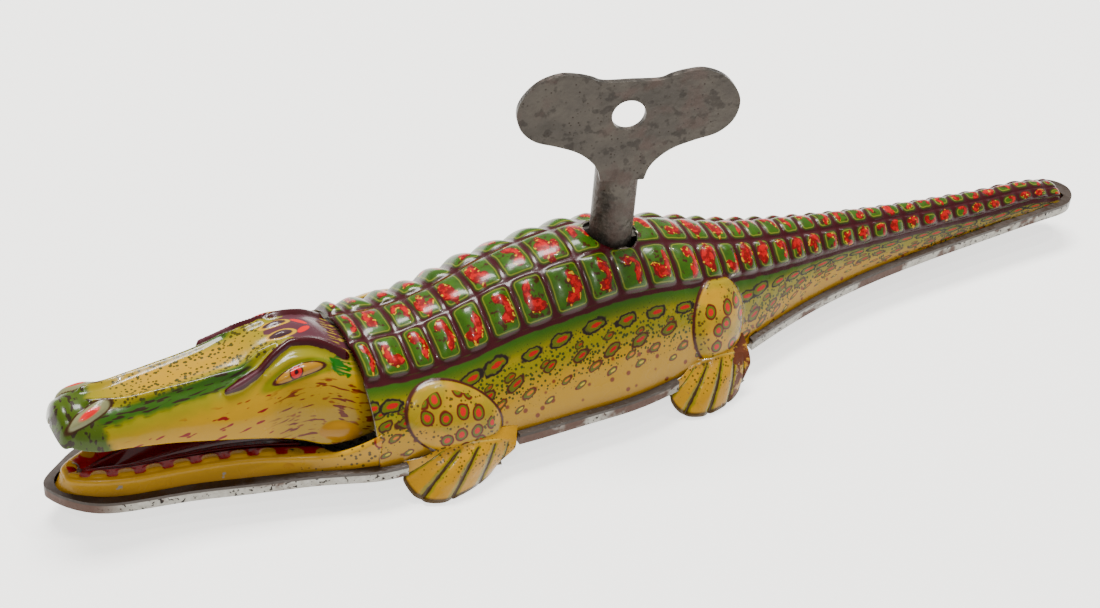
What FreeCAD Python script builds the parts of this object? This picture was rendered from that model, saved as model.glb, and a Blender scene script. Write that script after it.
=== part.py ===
"""Tin wind-up crocodile: lithographed shells over a flat clockwork that drives two wheels and the upper jaw.

Frame: X runs from the jaw tip (-X) to the tail tip (+X), Z is up, the feet stand on Z = 0 and the
origin is under the middle of the toy's length. Millimetres.
"""
import FreeCAD
import Part
import math
import os

V = FreeCAD.Vector
os.makedirs("parts", exist_ok=True)

# ---- driving dimensions: shells ----
overall_length = 154.4
body_width = 27.4
back_height = 21.8
belly_height = 4.0
tin = 0.45
plate_sheet = 0.5
plate_lip = 0.8
plate_rim_height = 1.1
tail_lift = 1.8
jaw_rim_height = 7.6
lining_depth = 2.0
head_width = 20.8
head_rise = 9.6
mouth_gape = 7.5
hinge_height = 9.0
hinge_behind_neck = 1.5
snout_setback = 0.8
palate_drop = 0.48
toe_radius = 1.9
toe_height = 2.2
ankle_height = 5.4

# ---- driving dimensions: key and winding ----
key_span = 27.6
key_lobe = 4.9
key_sheet = 0.8
key_hole_radius = 2.1
key_top = 46.0
key_yaw = -17.0
shank_radius = 2.75
square_side = 3.0
back_hole_radius = 3.6
arbor_below_back = 1.6

# ---- driving dimensions: clockwork ----
gear_module = 0.5
great_teeth = 32
pinion_teeth = 8
crown_teeth = 12
ratchet_teeth = 12
gear_sheet = 0.6
frame_sheet = 0.6
spring_radius = 6.0
spring_height = 5.0
spring_strip = 0.25
spring_turns = 8
arbor_radius = 1.0
hub_radius = 1.6
axle_radius = 0.75
wheel_radius = 5.4
wheel_width = 1.6
tyre_depth = 0.7
pillar_radius = 0.8
back_pillar_y = 5.4
crown_arbor_radius = 0.8
ratchet_tip = 3.0
ratchet_root = 2.2
click_rivet_radius = 0.6
cam_radius = 1.5
cam_y = 1.6
pin_radius = 0.8
slide_half = 2.6
tongue_half = 1.0
tang_half = 0.4
lever_half = 6.0
fork_y = 7.0
fork_reach = 2.2
jaw_spring_radius = 0.8
jaw_spring_wire = 0.12

# ---- clearances ----
running = 0.05
gap = 0.3
seat = 0.02
rim_fit = 0.08
past = 1.0

# ---- stations along the body: share of the length, of the half width and of the rise over the belly ----
BODY = [(0.239, 0.92, 0.742), (0.281, 0.945, 0.713), (0.323, 0.964, 0.77), (0.3685, 0.993, 0.9),
        (0.42, 1.0, 0.983), (0.4657, 1.0, 1.0), (0.511, 0.927, 0.933), (0.556, 0.825, 0.815),
        (0.602, 0.672, 0.697), (0.6535, 0.504, 0.612), (0.718, 0.358, 0.53), (0.796, 0.27, 0.44),
        (0.887, 0.226, 0.355), (0.964, 0.204, 0.277), (0.987, 0.161, 0.19)]
# lower jaw from its tip back to the neck: share of the length, half widths of its foot and of its rim
JAW = [(0.016, 0.19, 0.11), (0.03, 0.305, 0.205), (0.055, 0.395, 0.3), (0.095, 0.475, 0.375),
       (0.145, 0.62, 0.49), (0.19, 0.745, 0.68), (0.213, 0.83, 0.8), (0.239, 0.88, 0.86)]
# closed upper jaw from the hinge forwards: share of its length, half width, lower edge and top over the hinge
HEAD = [(0.01, 0.87, -0.15, 0.68), (0.07, 0.885, -0.19, 0.76), (0.18, 0.885, -0.2, 0.955), (0.26, 0.82, -0.12, 0.985),
        (0.34, 0.765, -0.07, 0.9), (0.44, 0.7, -0.05, 0.74), (0.53, 0.635, -0.05, 0.635),
        (0.66, 0.55, -0.05, 0.53), (0.79, 0.505, -0.05, 0.435), (0.9, 0.465, -0.05, 0.4),
        (0.955, 0.36, -0.04, 0.34), (0.99, 0.2, -0.03, 0.23)]
# legs: share of the length and of the half width, then height; the thigh's three radii; ankle and toe ends
FRONT_LEG = {"thigh": (0.3155, 0.774, 9.2), "size": (6.6, 3.4, 5.2), "ankle": (0.331, 0.832),
             "toes": [(0.2745, 0.8175), (0.2785, 1.066), (0.294, 1.1825), (0.3195, 1.08)]}
REAR_LEG = {"thigh": (0.5635, 0.613, 10.4), "size": (5.0, 3.8, 6.4), "ankle": (0.5705, 0.774),
            "toes": [(0.523, 0.847), (0.529, 1.066), (0.5475, 1.139), (0.5735, 1.022)]}

# ---- places worked out from the driving dimensions ----
half_width = body_width / 2
rise = back_height - belly_height
wheel_axis_z = wheel_radius
key_x = overall_length * (0.4819 - 0.5)
great_radius = gear_module * great_teeth / 2
pinion_radius = gear_module * pinion_teeth / 2
crown_radius = gear_module * crown_teeth / 2
axle_x = key_x - great_radius - pinion_radius
hinge_x = overall_length * (BODY[0][0] - 0.5) + hinge_behind_neck
head_length = hinge_x + overall_length / 2 - snout_setback
lever_arm = hinge_height - belly_height - gap - frame_sheet / 2
jaw_stroke = lever_arm * math.sin(math.radians(mouth_gape))
cam_throw = jaw_stroke / 2
lower_plate_z = belly_height + 2 * gap + frame_sheet
spring_z = lower_plate_z + frame_sheet + gap
great_z = spring_z + spring_height + gap
ratchet_z = great_z + gear_sheet + gap / 2
upper_plate_z = ratchet_z + gear_sheet + gap
arbor_top_z = back_height - arbor_below_back
shank_bottom_z = upper_plate_z + frame_sheet + gap
ear_y = crown_radius + 2 * gear_module + gap / 2
wheel_y = ear_y + frame_sheet + gap
crown_face_z = wheel_axis_z + pinion_radius
bridge_z = crown_face_z + gear_module * 1.15 + gear_sheet + gap
window_reach = max(pinion_radius + gear_module, cam_radius + cam_throw + jaw_stroke + frame_sheet + gap) + gap
edge = pillar_radius + gap
front_x = axle_x - wheel_radius - gap - edge - pillar_radius
front_pillar_y = ear_y + frame_sheet - pillar_radius
plate_half = back_pillar_y + edge
click_x = key_x
click_y = great_radius * 0.7
guide_x = hinge_x + 3.2
spring_lug_x = hinge_x + 7.5
spring_post_x = spring_lug_x + 9.0


def save(shape, name):
    shape.exportStep("parts/" + name + ".step")


def along(share):
    """X of a station at a share of the overall length from the jaw tip."""
    return overall_length * (share - 0.5)


def box(x0, x1, y0, y1, z0, z1):
    return Part.makeBox(x1 - x0, y1 - y0, z1 - z0, V(x0, y0, z0))


def rod(radius, x, y, z0, z1):
    return Part.makeCylinder(radius, z1 - z0, V(x, y, z0))


def cross_rod(radius, x, z, y0, y1):
    return Part.makeCylinder(radius, y1 - y0, V(x, y0, z), V(0, 1, 0))


def fuse(shapes):
    whole = shapes[0]
    for shape in shapes[1:]:
        whole = whole.fuse(shape)
    return whole.removeSplitter()


def mirrored(shape):
    return shape.mirror(V(0, 0, 0), V(0, 1, 0))


def spline(points):
    curve = Part.BSplineCurve()
    curve.interpolate(points)
    return curve.toShape()


def arch(x, half, low, top, fullness, skirt=0.0):
    """Closed half-round section across the toy: crowned back, flat foot, and a straight skirt below if asked."""
    steps = 16
    points = []
    for i in range(steps + 1):
        turn = math.pi * i / steps
        y = -half * math.cos(turn)
        lift = max(0.0, 1 - abs(math.cos(turn)) ** 2) ** (1 / fullness)
        points.append(V(x, y, low + (top - low) * lift))
    down = V(0, 0, -skirt)
    ring = [points[-1], points[-1] + down, points[0] + down, points[0]] if skirt else [points[-1], points[0]]
    return Part.Wire([spline(points)] + [Part.makeLine(a, b) for a, b in zip(ring, ring[1:])])


def loft(wires):
    return Part.makeLoft(wires, True, False)


def neck_fullness(share):
    """The back is round at the neck and ridged behind the front legs."""
    reach = min(1.0, max(0.0, (share - BODY[0][0]) / 0.15))
    return 2.0 - 0.6 * reach


def belly_z(share):
    """The foot of the shell is level to the rear legs, then lifts towards the tail tip."""
    return belly_height + tail_lift * max(0.0, share - 0.6) / 0.4


def body_solid(inset):
    """The body and tail with their surface moved in by inset; cutters run on below the foot."""
    wires = []
    stations = BODY[:-1] if inset > 0 else BODY
    skirt = plate_rim_height if inset else 0.0
    for share, wide, high in stations:
        half = half_width * wide - inset
        top = belly_height + rise * high - inset
        wires.append(arch(along(share), half, belly_z(share), top, neck_fullness(share), skirt))
    return loft(wires)


def outline(stations, z, tip_x, extra):
    """Closed plan outline of the lower jaw at one height, blunt at the neck."""
    near = [V(along(share), -half_width * wide - extra, z) for share, wide in stations]
    far = [V(p.x, -p.y, z) for p in near]
    ring = list(reversed(near)) + [V(tip_x, 0, z)] + far
    return Part.Wire([spline(ring), Part.makeLine(ring[-1], ring[0])])


def jaw_solid(inset, z0, z1):
    """The jaw's side wall leans in from its foot to its rim; z0 and z1 may lie beyond both."""
    rings = []
    for z in (z0, z1):
        share_up = (z - belly_height) / (jaw_rim_height - belly_height)
        stations = [(s, foot + (rim - foot) * share_up) for s, foot, rim in JAW]
        tip = along(0.0055 + 0.008 * share_up) + inset
        rings.append(outline(stations, z, tip, -inset))
    return Part.makeLoft(rings, True, True)


def leg_solid(leg, inset):
    """A thigh bulge on the flank and, round the ankle, four toes that slope down to the ground."""
    share, wide, z = leg["thigh"]
    scale = FreeCAD.Matrix()
    scale.scale(leg["size"][0] - inset, leg["size"][1] - inset, leg["size"][2] - inset)
    thigh = Part.makeSphere(1.0).transformGeometry(scale)
    thigh.translate(V(along(share), -half_width * wide, z))
    ax, ay = along(leg["ankle"][0]), -half_width * leg["ankle"][1]
    radius = toe_radius - inset
    low = -inset
    pieces = [thigh, rod(radius + 0.6, ax, ay, low, ankle_height + past - inset)]
    for toe_share, toe_wide in leg["toes"]:
        tx, ty = along(toe_share), -half_width * toe_wide
        reach = math.hypot(tx - ax, ty - ay)
        toe = box(0, reach, -radius, radius, low, ankle_height).fuse(rod(radius, reach, 0, low, ankle_height))
        slope = math.degrees(math.atan2(ankle_height - toe_height, reach))
        cutter = box(-4, reach + 8, -8, 8, 0, 12)
        cutter.rotate(V(0, 0, 0), V(0, 1, 0), slope)
        cutter.translate(V(0, 0, ankle_height - inset))
        toe = toe.cut(cutter)
        toe.rotate(V(0, 0, 0), V(0, 0, 1), math.degrees(math.atan2(ty - ay, tx - ax)))
        toe.translate(V(ax, ay, 0))
        pieces.append(toe)
    return fuse(pieces)


def make_body_shell():
    """One stamping: back, flanks, tail, lower jaw, thighs and feet, with the winding hole."""
    outer = [body_solid(0), jaw_solid(0, belly_height, jaw_rim_height)]
    neck_x = along(BODY[0][0])
    inner = [body_solid(tin), jaw_solid(tin, belly_height - past, jaw_rim_height + past)]
    front = half_width * BODY[0][1] - tin
    step = half_width * (BODY[0][1] - JAW[-1][1])
    low = belly_height - past
    inner.append(box(neck_x - step, neck_x + step, step - front, front - step, low, jaw_rim_height))
    for leg in (FRONT_LEG, REAR_LEG):
        near = leg_solid(leg, 0)
        hollow = leg_solid(leg, tin)
        outer += [near, mirrored(near)]
        inner += [hollow, mirrored(hollow)]
    shell = fuse(outer)
    for hollow in inner:
        shell = shell.cut(hollow)
    mouth = arch(neck_x - past, front, belly_height, belly_height + rise * BODY[0][2] - tin, 2.0, past)
    shell = shell.cut(Part.Face(mouth).extrude(V(2 * past, 0, 0)))
    return shell.cut(rod(back_hole_radius, key_x, 0, back_height / 2 + belly_height, back_height + past))


def plate_band(z_offset, thick):
    """A level band across the whole toy that lifts with the foot of the shell towards the tail."""
    shares = [-0.02, 0.6, 1.02]
    low = [V(along(s), -half_width * 2, belly_z(s) + z_offset) for s in shares]
    high = [p + V(0, 0, thick) for p in reversed(low)]
    ring = low + high + [low[0]]
    return Part.Face(Part.makePolygon(ring)).extrude(V(0, half_width * 4, 0))


def plate_prism(extra):
    """Plan of the toy's foot, jaw tip to tail tip, grown by extra and tall enough to cut with."""
    near = [(share, wide) for share, wide, _ in JAW[:-1]]
    near += [(share, wide) for share, wide, _ in BODY]
    points = [V(along(s), -half_width * w - extra, 0) for s, w in near]
    far = [V(p.x, -p.y, 0) for p in points]
    ring = [V(along(0.0055) - extra, 0, 0)] + points
    ring += [V(along(BODY[-1][0]) + half_width * BODY[-1][1] * 0.5 + extra, 0, 0)] + list(reversed(far))
    curve = Part.BSplineCurve()
    curve.interpolate(ring, True)
    return Part.Face(Part.Wire([curve.toShape()])).extrude(V(0, 0, 12))


def make_base_plate():
    """The bottom plate: a flat sheet with a turned-up rim round the shell's foot and slots for the wheels."""
    whole = plate_prism(plate_lip)
    sheet = whole.common(plate_band(-plate_sheet, plate_sheet))
    rim = whole.common(plate_band(0, plate_rim_height)).cut(body_solid(-rim_fit))
    rim = rim.cut(jaw_solid(-rim_fit, belly_height - past, jaw_rim_height + past))
    plate = sheet.fuse(rim).removeSplitter()
    plate = plate.cut(box(axle_x - window_reach, axle_x + window_reach, -ear_y, ear_y, 0, 12))
    reach = wheel_radius + gap
    for side in (-1, 1):
        y0, y1 = sorted((side * (wheel_y - gap), side * (wheel_y + wheel_width + gap)))
        plate = plate.cut(box(axle_x - reach, axle_x + reach, y0, y1, 0, 12))
    for leg in (FRONT_LEG, REAR_LEG):
        start = along(leg["toes"][0][0]) - toe_radius - gap
        end = along(leg["ankle"][0]) + toe_radius + 2 * past
        foot_y = half_width * leg["ankle"][1] - toe_radius - 4 * gap
        for side in (-1, 1):
            y0, y1 = sorted((side * foot_y, side * half_width * 2))
            plate = plate.cut(box(start, end, y0, y1, 0, 12))
    return plate


def make_mouth_lining():
    """The maroon dish pressed into the lower jaw: a floor with a low wall against the jaw's side."""
    floor_z = jaw_rim_height - lining_depth
    back_x = along(0.185)
    block = box(-overall_length, back_x, -half_width, half_width, floor_z, jaw_rim_height)
    room = box(-overall_length, back_x, -half_width, half_width, floor_z + tin, jaw_rim_height + past)
    outer = jaw_solid(tin + seat, belly_height - past, jaw_rim_height + past).common(block)
    return outer.cut(jaw_solid(2 * tin, belly_height - past, jaw_rim_height + past).common(room))


def gape(shape):
    """Turn an upper-jaw piece from closed to the open rest pose."""
    shape.rotate(V(hinge_x, 0, hinge_height), V(0, 1, 0), mouth_gape)
    return shape


def head_section(station, inset):
    share, wide, low, top = station
    x = hinge_x - head_length * share
    skirt = 2 * past if inset else 0.0
    half = head_width / 2 * wide - inset
    return arch(x, half, hinge_height + head_rise * low, hinge_height + head_rise * top - inset, 2.0, skirt)


def head_solid(inset):
    """The closed upper jaw with its surface moved in by inset; cutters run on below its edge."""
    stations = HEAD[:-1] if inset > 0 else HEAD
    return loft([head_section(station, inset) for station in stations])


def make_head_shell():
    """The upper jaw and crown in one stamping, open below and behind."""
    rear = Part.Face(head_section(HEAD[0], tin)).extrude(V(3 * past, 0, 0))
    rear.translate(V(-past, 0, 0))
    return gape(head_solid(0).cut(head_solid(tin)).cut(rear))


def make_palate():
    """The maroon roof of the mouth, a flat plate let into the foot of the head shell."""
    low = hinge_height - palate_drop
    slab = box(hinge_x - head_length, hinge_x - head_length * 0.3, -half_width, half_width, low, low + tin)
    return gape(head_solid(tin + seat).common(slab))


def make_head_lever():
    """A folded bracket inside the head: a tube round the hinge pin, a tongue on the palate, a tang below."""
    tube = cross_rod(pin_radius + running + 0.6, hinge_x, hinge_height, -lever_half, lever_half)
    low = hinge_height - palate_drop + tin
    tongue = box(hinge_x - head_length * 0.42, hinge_x, -2 * past, 2 * past, low, low + tin)
    tang_z = hinge_height - lever_arm - 2 * running
    tang = box(hinge_x - tang_half, hinge_x + tang_half, -tongue_half, tongue_half, tang_z, hinge_height)
    lever = gape(tube.fuse(tongue)).fuse(tang).removeSplitter()
    return lever.cut(cross_rod(pin_radius + running, hinge_x, hinge_height, -half_width, half_width))


def make_hinge_ears():
    """Two folded ears that carry the hinge pin, spot-welded to the bottom plate either side of the strip."""
    x0, x1 = hinge_x - fork_reach, hinge_x + fork_reach
    foot_z = belly_height
    ears = box(x0, x1, -fork_y, fork_y, foot_z, foot_z + frame_sheet)
    for side in (-1, 1):
        y0, y1 = sorted((side * fork_y, side * (fork_y - frame_sheet)))
        ears = ears.fuse(box(x0, x1, y0, y1, foot_z, hinge_height + fork_reach))
    slot = slide_half + gap
    ears = ears.cut(box(x0 - past, x1 + past, -slot, slot, 0, foot_z + past)).removeSplitter()
    return ears.cut(cross_rod(pin_radius, hinge_x, hinge_height, -half_width, half_width))


def make_hinge_pin():
    """A headed wire across the two ears."""
    pin = cross_rod(pin_radius, hinge_x, hinge_height, -fork_y - 0.3, fork_y + 0.3)
    for y in (-fork_y - 0.6, fork_y):
        pin = pin.fuse(cross_rod(pin_radius + 0.5, hinge_x, hinge_height, y, y + 0.6))
    return pin.removeSplitter()


def make_jaw_slide():
    """A strip that slides on the bottom plate, from the head's tang to the upturned end in front of the cam."""
    z0 = belly_height + gap / 2
    z1 = z0 + frame_sheet
    wide_x = axle_x - pinion_radius - gear_module - jaw_stroke - gap
    tab_x = axle_x - cam_radius - cam_throw - jaw_stroke - gap / 2
    y0, y1 = cam_y - tongue_half, cam_y + tongue_half
    strip = box(hinge_x - 3, wide_x, -slide_half, slide_half, z0, z1)
    strip = strip.fuse(box(wide_x - past, tab_x, y0, y1, z0, z1))
    strip = strip.fuse(box(tab_x - frame_sheet, tab_x, y0, y1, z0, wheel_axis_z + axle_radius))
    play = tang_half + 2 * running
    window = box(hinge_x - play, hinge_x + play, -tongue_half - gap, tongue_half + gap, z0 - past, z1 + past)
    lug = box(spring_lug_x, spring_lug_x + frame_sheet, -slide_half, -slide_half + 1.6, z1, z1 + 2.4)
    return strip.fuse(lug).cut(window).removeSplitter()


def make_slide_guide():
    """A staple over the sliding strip that keeps it flat on the bottom plate."""
    x0 = guide_x
    x1 = guide_x + 3.0
    top = belly_height + gap + frame_sheet + running
    outer = box(x0, x1, -slide_half - 0.9, slide_half + 0.9, belly_height, top + frame_sheet)
    return outer.cut(box(x0 - 1, x1 + 1, -slide_half - gap, slide_half + gap, belly_height - 1, top))


def make_jaw_spring():
    """A light coil spring that draws the strip back against the cam, clear of the strip's lug over its stroke."""
    z = belly_height + 2 * frame_sheet + 1.4
    start = spring_lug_x + frame_sheet + jaw_stroke + gap
    length = spring_post_x - gap - start
    helix = Part.makeHelix(length / 12, length, jaw_spring_radius)
    ring = Part.Wire([Part.makeCircle(jaw_spring_wire, V(jaw_spring_radius, 0, 0), V(0, 1, 0))])
    coil = Part.Wire(helix.Edges).makePipeShell([ring], True, True)
    coil.rotate(V(0, 0, 0), V(0, 1, 0), 90)
    coil.translate(V(start, jaw_spring_radius - slide_half, z))
    return coil


def make_spring_post():
    """An upright lug on the bottom plate for the fixed end of the jaw spring, notched over the strip."""
    x0, x1 = spring_post_x, spring_post_x + frame_sheet
    y0 = -2 * slide_half
    y1 = 2 * jaw_spring_radius - slide_half
    post = box(x0, x1, y0, y1, belly_height, belly_height + 4)
    notch_z = belly_height + 2 * gap + frame_sheet
    return post.cut(box(x0 - past, x1 + past, -slide_half - gap, slide_half, 0, notch_z))


def gear_blank(teeth, bore, thick):
    """A clock wheel lying on Z = 0: straight-flanked teeth with room at the root."""
    pitch = gear_module * teeth / 2
    tip = pitch + gear_module * 0.85
    root = pitch - gear_module * 1.15
    points = []
    for i in range(teeth):
        for turn, radius in ((-0.31, root), (-0.2, pitch), (-0.09, tip), (0.09, tip), (0.2, pitch), (0.31, root)):
            a = 2 * math.pi * (i + turn) / teeth
            points.append(V(radius * math.cos(a), radius * math.sin(a), 0))
    blank = Part.Face(Part.makePolygon(points + [points[0]])).extrude(V(0, 0, thick))
    return blank.cut(rod(bore, 0, 0, -1, thick + 1))


def gear(teeth, bore, thick, x, z, turn):
    wheel = gear_blank(teeth, bore, thick)
    wheel.rotate(V(0, 0, 0), V(0, 0, 1), turn)
    wheel.translate(V(x, 0, z))
    return wheel


def make_great_wheel():
    """The wheel that the mainspring turns, with five lightening holes and a hole for the click's rivet."""
    wheel = gear(great_teeth, arbor_radius + running, gear_sheet, key_x, great_z, 0)
    for i in range(5):
        a = 2 * math.pi * (i + 0.5) / 5
        wheel = wheel.cut(rod(1.2, key_x + 4.6 * math.cos(a), 4.6 * math.sin(a), great_z - 1, great_z + 1.5))
    return wheel.cut(rod(click_rivet_radius + seat, click_x, click_y, great_z - 1, great_z + 1.5))


def make_ratchet():
    """Saw-toothed wheel pressed on the winding arbor."""
    points = []
    for i in range(ratchet_teeth):
        a = 2 * math.pi * i / ratchet_teeth
        points.append(V(ratchet_tip * math.cos(a), ratchet_tip * math.sin(a), 0))
        b = a + 2 * math.pi / ratchet_teeth * 0.12
        points.append(V(ratchet_root * math.cos(b), ratchet_root * math.sin(b), 0))
    wheel = Part.Face(Part.makePolygon(points + [points[0]])).extrude(V(0, 0, gear_sheet))
    wheel = wheel.cut(rod(arbor_radius, 0, 0, -1, 2))
    wheel.translate(V(key_x, 0, ratchet_z))
    return wheel


def make_click():
    """The pawl: a small arm on a rivet whose nose drops between two ratchet teeth."""
    nose_a = 2 * math.pi * 2.5 / ratchet_teeth
    nose = V(key_x + (ratchet_tip + 0.12) * math.cos(nose_a), (ratchet_tip + 0.12) * math.sin(nose_a), 0)
    eye = V(click_x, click_y, 0)
    run = nose - eye
    side = V(-run.y, run.x, 0) * (0.55 / run.Length)
    arm = Part.Face(Part.makePolygon([eye + side, nose + side * 0.3, nose - side * 0.3, eye - side, eye + side]))
    click = arm.extrude(V(0, 0, gear_sheet)).fuse(rod(1.1, click_x, click_y, 0, gear_sheet)).removeSplitter()
    click = click.cut(rod(click_rivet_radius + running, click_x, click_y, -1, 2))
    click.translate(V(0, 0, ratchet_z))
    return click


def make_click_rivet():
    """The rivet through the great wheel that the click turns on."""
    return rod(click_rivet_radius, click_x, click_y, great_z, ratchet_z + gear_sheet + 0.05)


def make_click_spring():
    """A hair spring fixed beside the rivet that presses the click inwards."""
    a = math.atan2(click_y, click_x - key_x)
    x = click_x + 1.6 * math.cos(a)
    y = click_y + 1.6 * math.sin(a)
    leaf = box(-2.6, 2.6, -0.1, 0.1, great_z + gear_sheet, great_z + gear_sheet + 0.6)
    leaf.rotate(V(0, 0, 0), V(0, 0, 1), math.degrees(a) + 90)
    leaf.translate(V(x, y, 0))
    return leaf


def make_winding_arbor():
    """Round arbor through both plates with the square end that takes the key."""
    low = lower_plate_z - 0.2
    arbor = rod(arbor_radius, key_x, 0, low, upper_plate_z + frame_sheet + gap)
    arbor = arbor.fuse(rod(hub_radius, key_x, 0, spring_z, spring_z + spring_height))
    half = square_side / 2
    square = box(key_x - half, key_x + half, -half, half, shank_bottom_z - gap / 2, arbor_top_z)
    square.rotate(V(key_x, 0, 0), V(0, 0, 1), key_yaw)
    return arbor.fuse(square).removeSplitter()


def make_mainspring():
    """A flat strip coiled round the arbor; the outer end is hooked on a pillar."""
    steps = spring_turns * 16
    start = hub_radius + gap
    near, far = [], []
    for i in range(steps + 1):
        a = 2 * math.pi * i / 16
        r = start + (spring_radius - start) * i / steps
        out = V(math.cos(a), math.sin(a), 0)
        near.append(V(key_x, 0, spring_z) + out * r)
        far.append(V(key_x, 0, spring_z) + out * (r + spring_strip))
    ends = [Part.makeLine(near[-1], far[-1]), Part.makeLine(far[0], near[0])]
    strip = Part.Wire([spline(near), ends[0], spline(list(reversed(far))), ends[1]])
    return Part.Face(strip).extrude(V(0, 0, spring_height))


def pillar_places():
    """Two pillars in front of the wheels and two behind the great wheel."""
    back = great_radius + gear_module + pillar_radius + gap
    x_back = key_x + math.sqrt(back ** 2 - back_pillar_y ** 2)
    places = [(front_x + edge, y) for y in (-front_pillar_y, front_pillar_y)]
    return places + [(x_back, y) for y in (-back_pillar_y, back_pillar_y)]


def plate_outline(z):
    """Both plates of the clockwork: narrow between the wheels, wider behind them."""
    back_x = pillar_places()[-1][0] + edge
    step_x = axle_x + wheel_radius + gap
    slim = ear_y + frame_sheet
    narrow = box(front_x, back_x, -slim, slim, z, z + frame_sheet)
    wide = box(step_x, back_x, -plate_half, plate_half, z, z + frame_sheet)
    return narrow.fuse(wide).removeSplitter()


def make_lower_plate():
    """Bottom plate of the clockwork, with two ears bent up for the drive axle."""
    plate = plate_outline(lower_plate_z)
    plate = plate.cut(box(axle_x - window_reach, axle_x + window_reach, -ear_y, ear_y, 0, back_height))
    for side in (-1, 1):
        y0, y1 = sorted((side * ear_y, side * (ear_y + frame_sheet)))
        ear = box(axle_x - window_reach, axle_x + window_reach, y0, y1, lower_plate_z, bridge_z)
        plate = plate.fuse(ear)
    plate = plate.removeSplitter()
    plate = plate.cut(cross_rod(axle_radius + running, axle_x, wheel_axis_z, -half_width, half_width))
    plate = plate.cut(rod(arbor_radius + running, key_x, 0, 0, back_height))
    return plate


def make_upper_plate():
    """Top plate of the clockwork, drilled for both arbors."""
    plate = plate_outline(upper_plate_z)
    plate = plate.cut(rod(arbor_radius + running, key_x, 0, 0, back_height))
    for x, y in pillar_places():
        plate = plate.cut(rod(pillar_radius * 0.6 + seat, x, y, 0, back_height))
    return plate.cut(rod(crown_arbor_radius + running, axle_x, 0, 0, back_height))


def make_pillars():
    """Four shouldered pillars between the plates, riveted over on top."""
    pillars = []
    for x, y in pillar_places():
        low = lower_plate_z + frame_sheet
        post = rod(pillar_radius, x, y, low, upper_plate_z)
        spigot = rod(pillar_radius * 0.6, x, y, low, upper_plate_z + frame_sheet + seat * 10)
        pillars.append(post.fuse(spigot).removeSplitter())
    return Part.makeCompound(pillars)


def make_feet_posts():
    """Four short posts that stand the clockwork on the bottom plate."""
    return Part.makeCompound([rod(pillar_radius, x, y, belly_height, lower_plate_z) for x, y in pillar_places()])


def make_bridge():
    """A strap across the ears with the lower bearing of the crown arbor."""
    reach = ear_y + frame_sheet
    strap = box(axle_x - 1.6, axle_x + 1.6, -reach, reach, bridge_z, bridge_z + frame_sheet)
    return strap.cut(rod(crown_arbor_radius + running, axle_x, 0, 0, back_height))


def make_crown_arbor():
    """Upright arbor that carries the crown wheel below and the pinion above."""
    return rod(crown_arbor_radius, axle_x, 0, crown_face_z + gear_module, upper_plate_z + frame_sheet)


def make_crown_pinion():
    """Pinion under the great wheel's rim; half a tooth's turn sets a space against the wheel's tooth."""
    turn = 180.0 / pinion_teeth
    return gear(pinion_teeth, crown_arbor_radius, gear_sheet * 2, axle_x, great_z - gear_sheet / 2, turn)


def make_crown_wheel():
    """Contrate wheel: a disc with teeth on its underside round the rim."""
    face_z = crown_face_z + gear_module * 1.15
    disc = rod(crown_radius + 0.5, axle_x, 0, face_z, face_z + gear_sheet)
    disc = disc.cut(rod(crown_arbor_radius, axle_x, 0, 0, back_height))
    depth = gear_module * 2.0
    foot = gear_module * 0.92
    tip = gear_module * 0.4
    profile = [V(0, -foot, face_z), V(0, foot, face_z), V(0, tip, face_z - depth), V(0, -tip, face_z - depth)]
    for i in range(crown_teeth):
        tooth = Part.Face(Part.makePolygon(profile + [profile[0]])).extrude(V(1.0, 0, 0))
        tooth.translate(V(axle_x + crown_radius - 0.5, 0, 0))
        tooth.rotate(V(axle_x, 0, 0), V(0, 0, 1), 360.0 / crown_teeth * (i + 0.5) - 90)
        disc = disc.fuse(tooth)
    return disc.removeSplitter()


def make_axle_pinion():
    """Pinion on the drive axle under the crown wheel's rim."""
    pinion = gear_blank(pinion_teeth, axle_radius, 1.2)
    pinion.rotate(V(0, 0, 0), V(1, 0, 0), 90)
    pinion.rotate(V(0, 0, 0), V(0, 1, 0), 90.0)
    pinion.translate(V(axle_x, -crown_radius + 0.6, wheel_axis_z))
    return pinion


def make_drive_axle():
    reach = wheel_y + wheel_width + 0.2
    return cross_rod(axle_radius, axle_x, wheel_axis_z, -reach, reach)


def make_cam():
    """Eccentric disc on the axle, its high side turned to the strip while the mouth is open."""
    disc = cross_rod(cam_radius, axle_x - cam_throw, wheel_axis_z, cam_y - 0.5, cam_y + 0.5)
    return disc.cut(cross_rod(axle_radius, axle_x, wheel_axis_z, cam_y - past, cam_y + past))


def make_wheel(side):
    """Pressed tin wheel with a dished web and a hub on the axle."""
    y0, y1 = sorted((side * wheel_y, side * (wheel_y + wheel_width)))
    rim_radius = wheel_radius - tyre_depth
    wheel = cross_rod(rim_radius, axle_x, wheel_axis_z, y0, y1)
    web = (wheel_width - gear_sheet) / 2
    ring = cross_rod(rim_radius - 0.6, axle_x, wheel_axis_z, y0 - 1, y1 + 1)
    ring = ring.cut(cross_rod(1.6, axle_x, wheel_axis_z, y0 - 2, y1 + 2))
    ring = ring.cut(box(axle_x - 9, axle_x + 9, y0 + web, y1 - web, -1, 20))
    return wheel.cut(ring).cut(cross_rod(axle_radius, axle_x, wheel_axis_z, y0 - 2, y1 + 2))


def make_tyre(side):
    """Rubber band round the drive wheel."""
    y0, y1 = sorted((side * wheel_y, side * (wheel_y + wheel_width)))
    band = cross_rod(wheel_radius, axle_x, wheel_axis_z, y0, y1)
    return band.cut(cross_rod(wheel_radius - tyre_depth, axle_x, wheel_axis_z, y0 - 1, y1 + 1))


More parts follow.
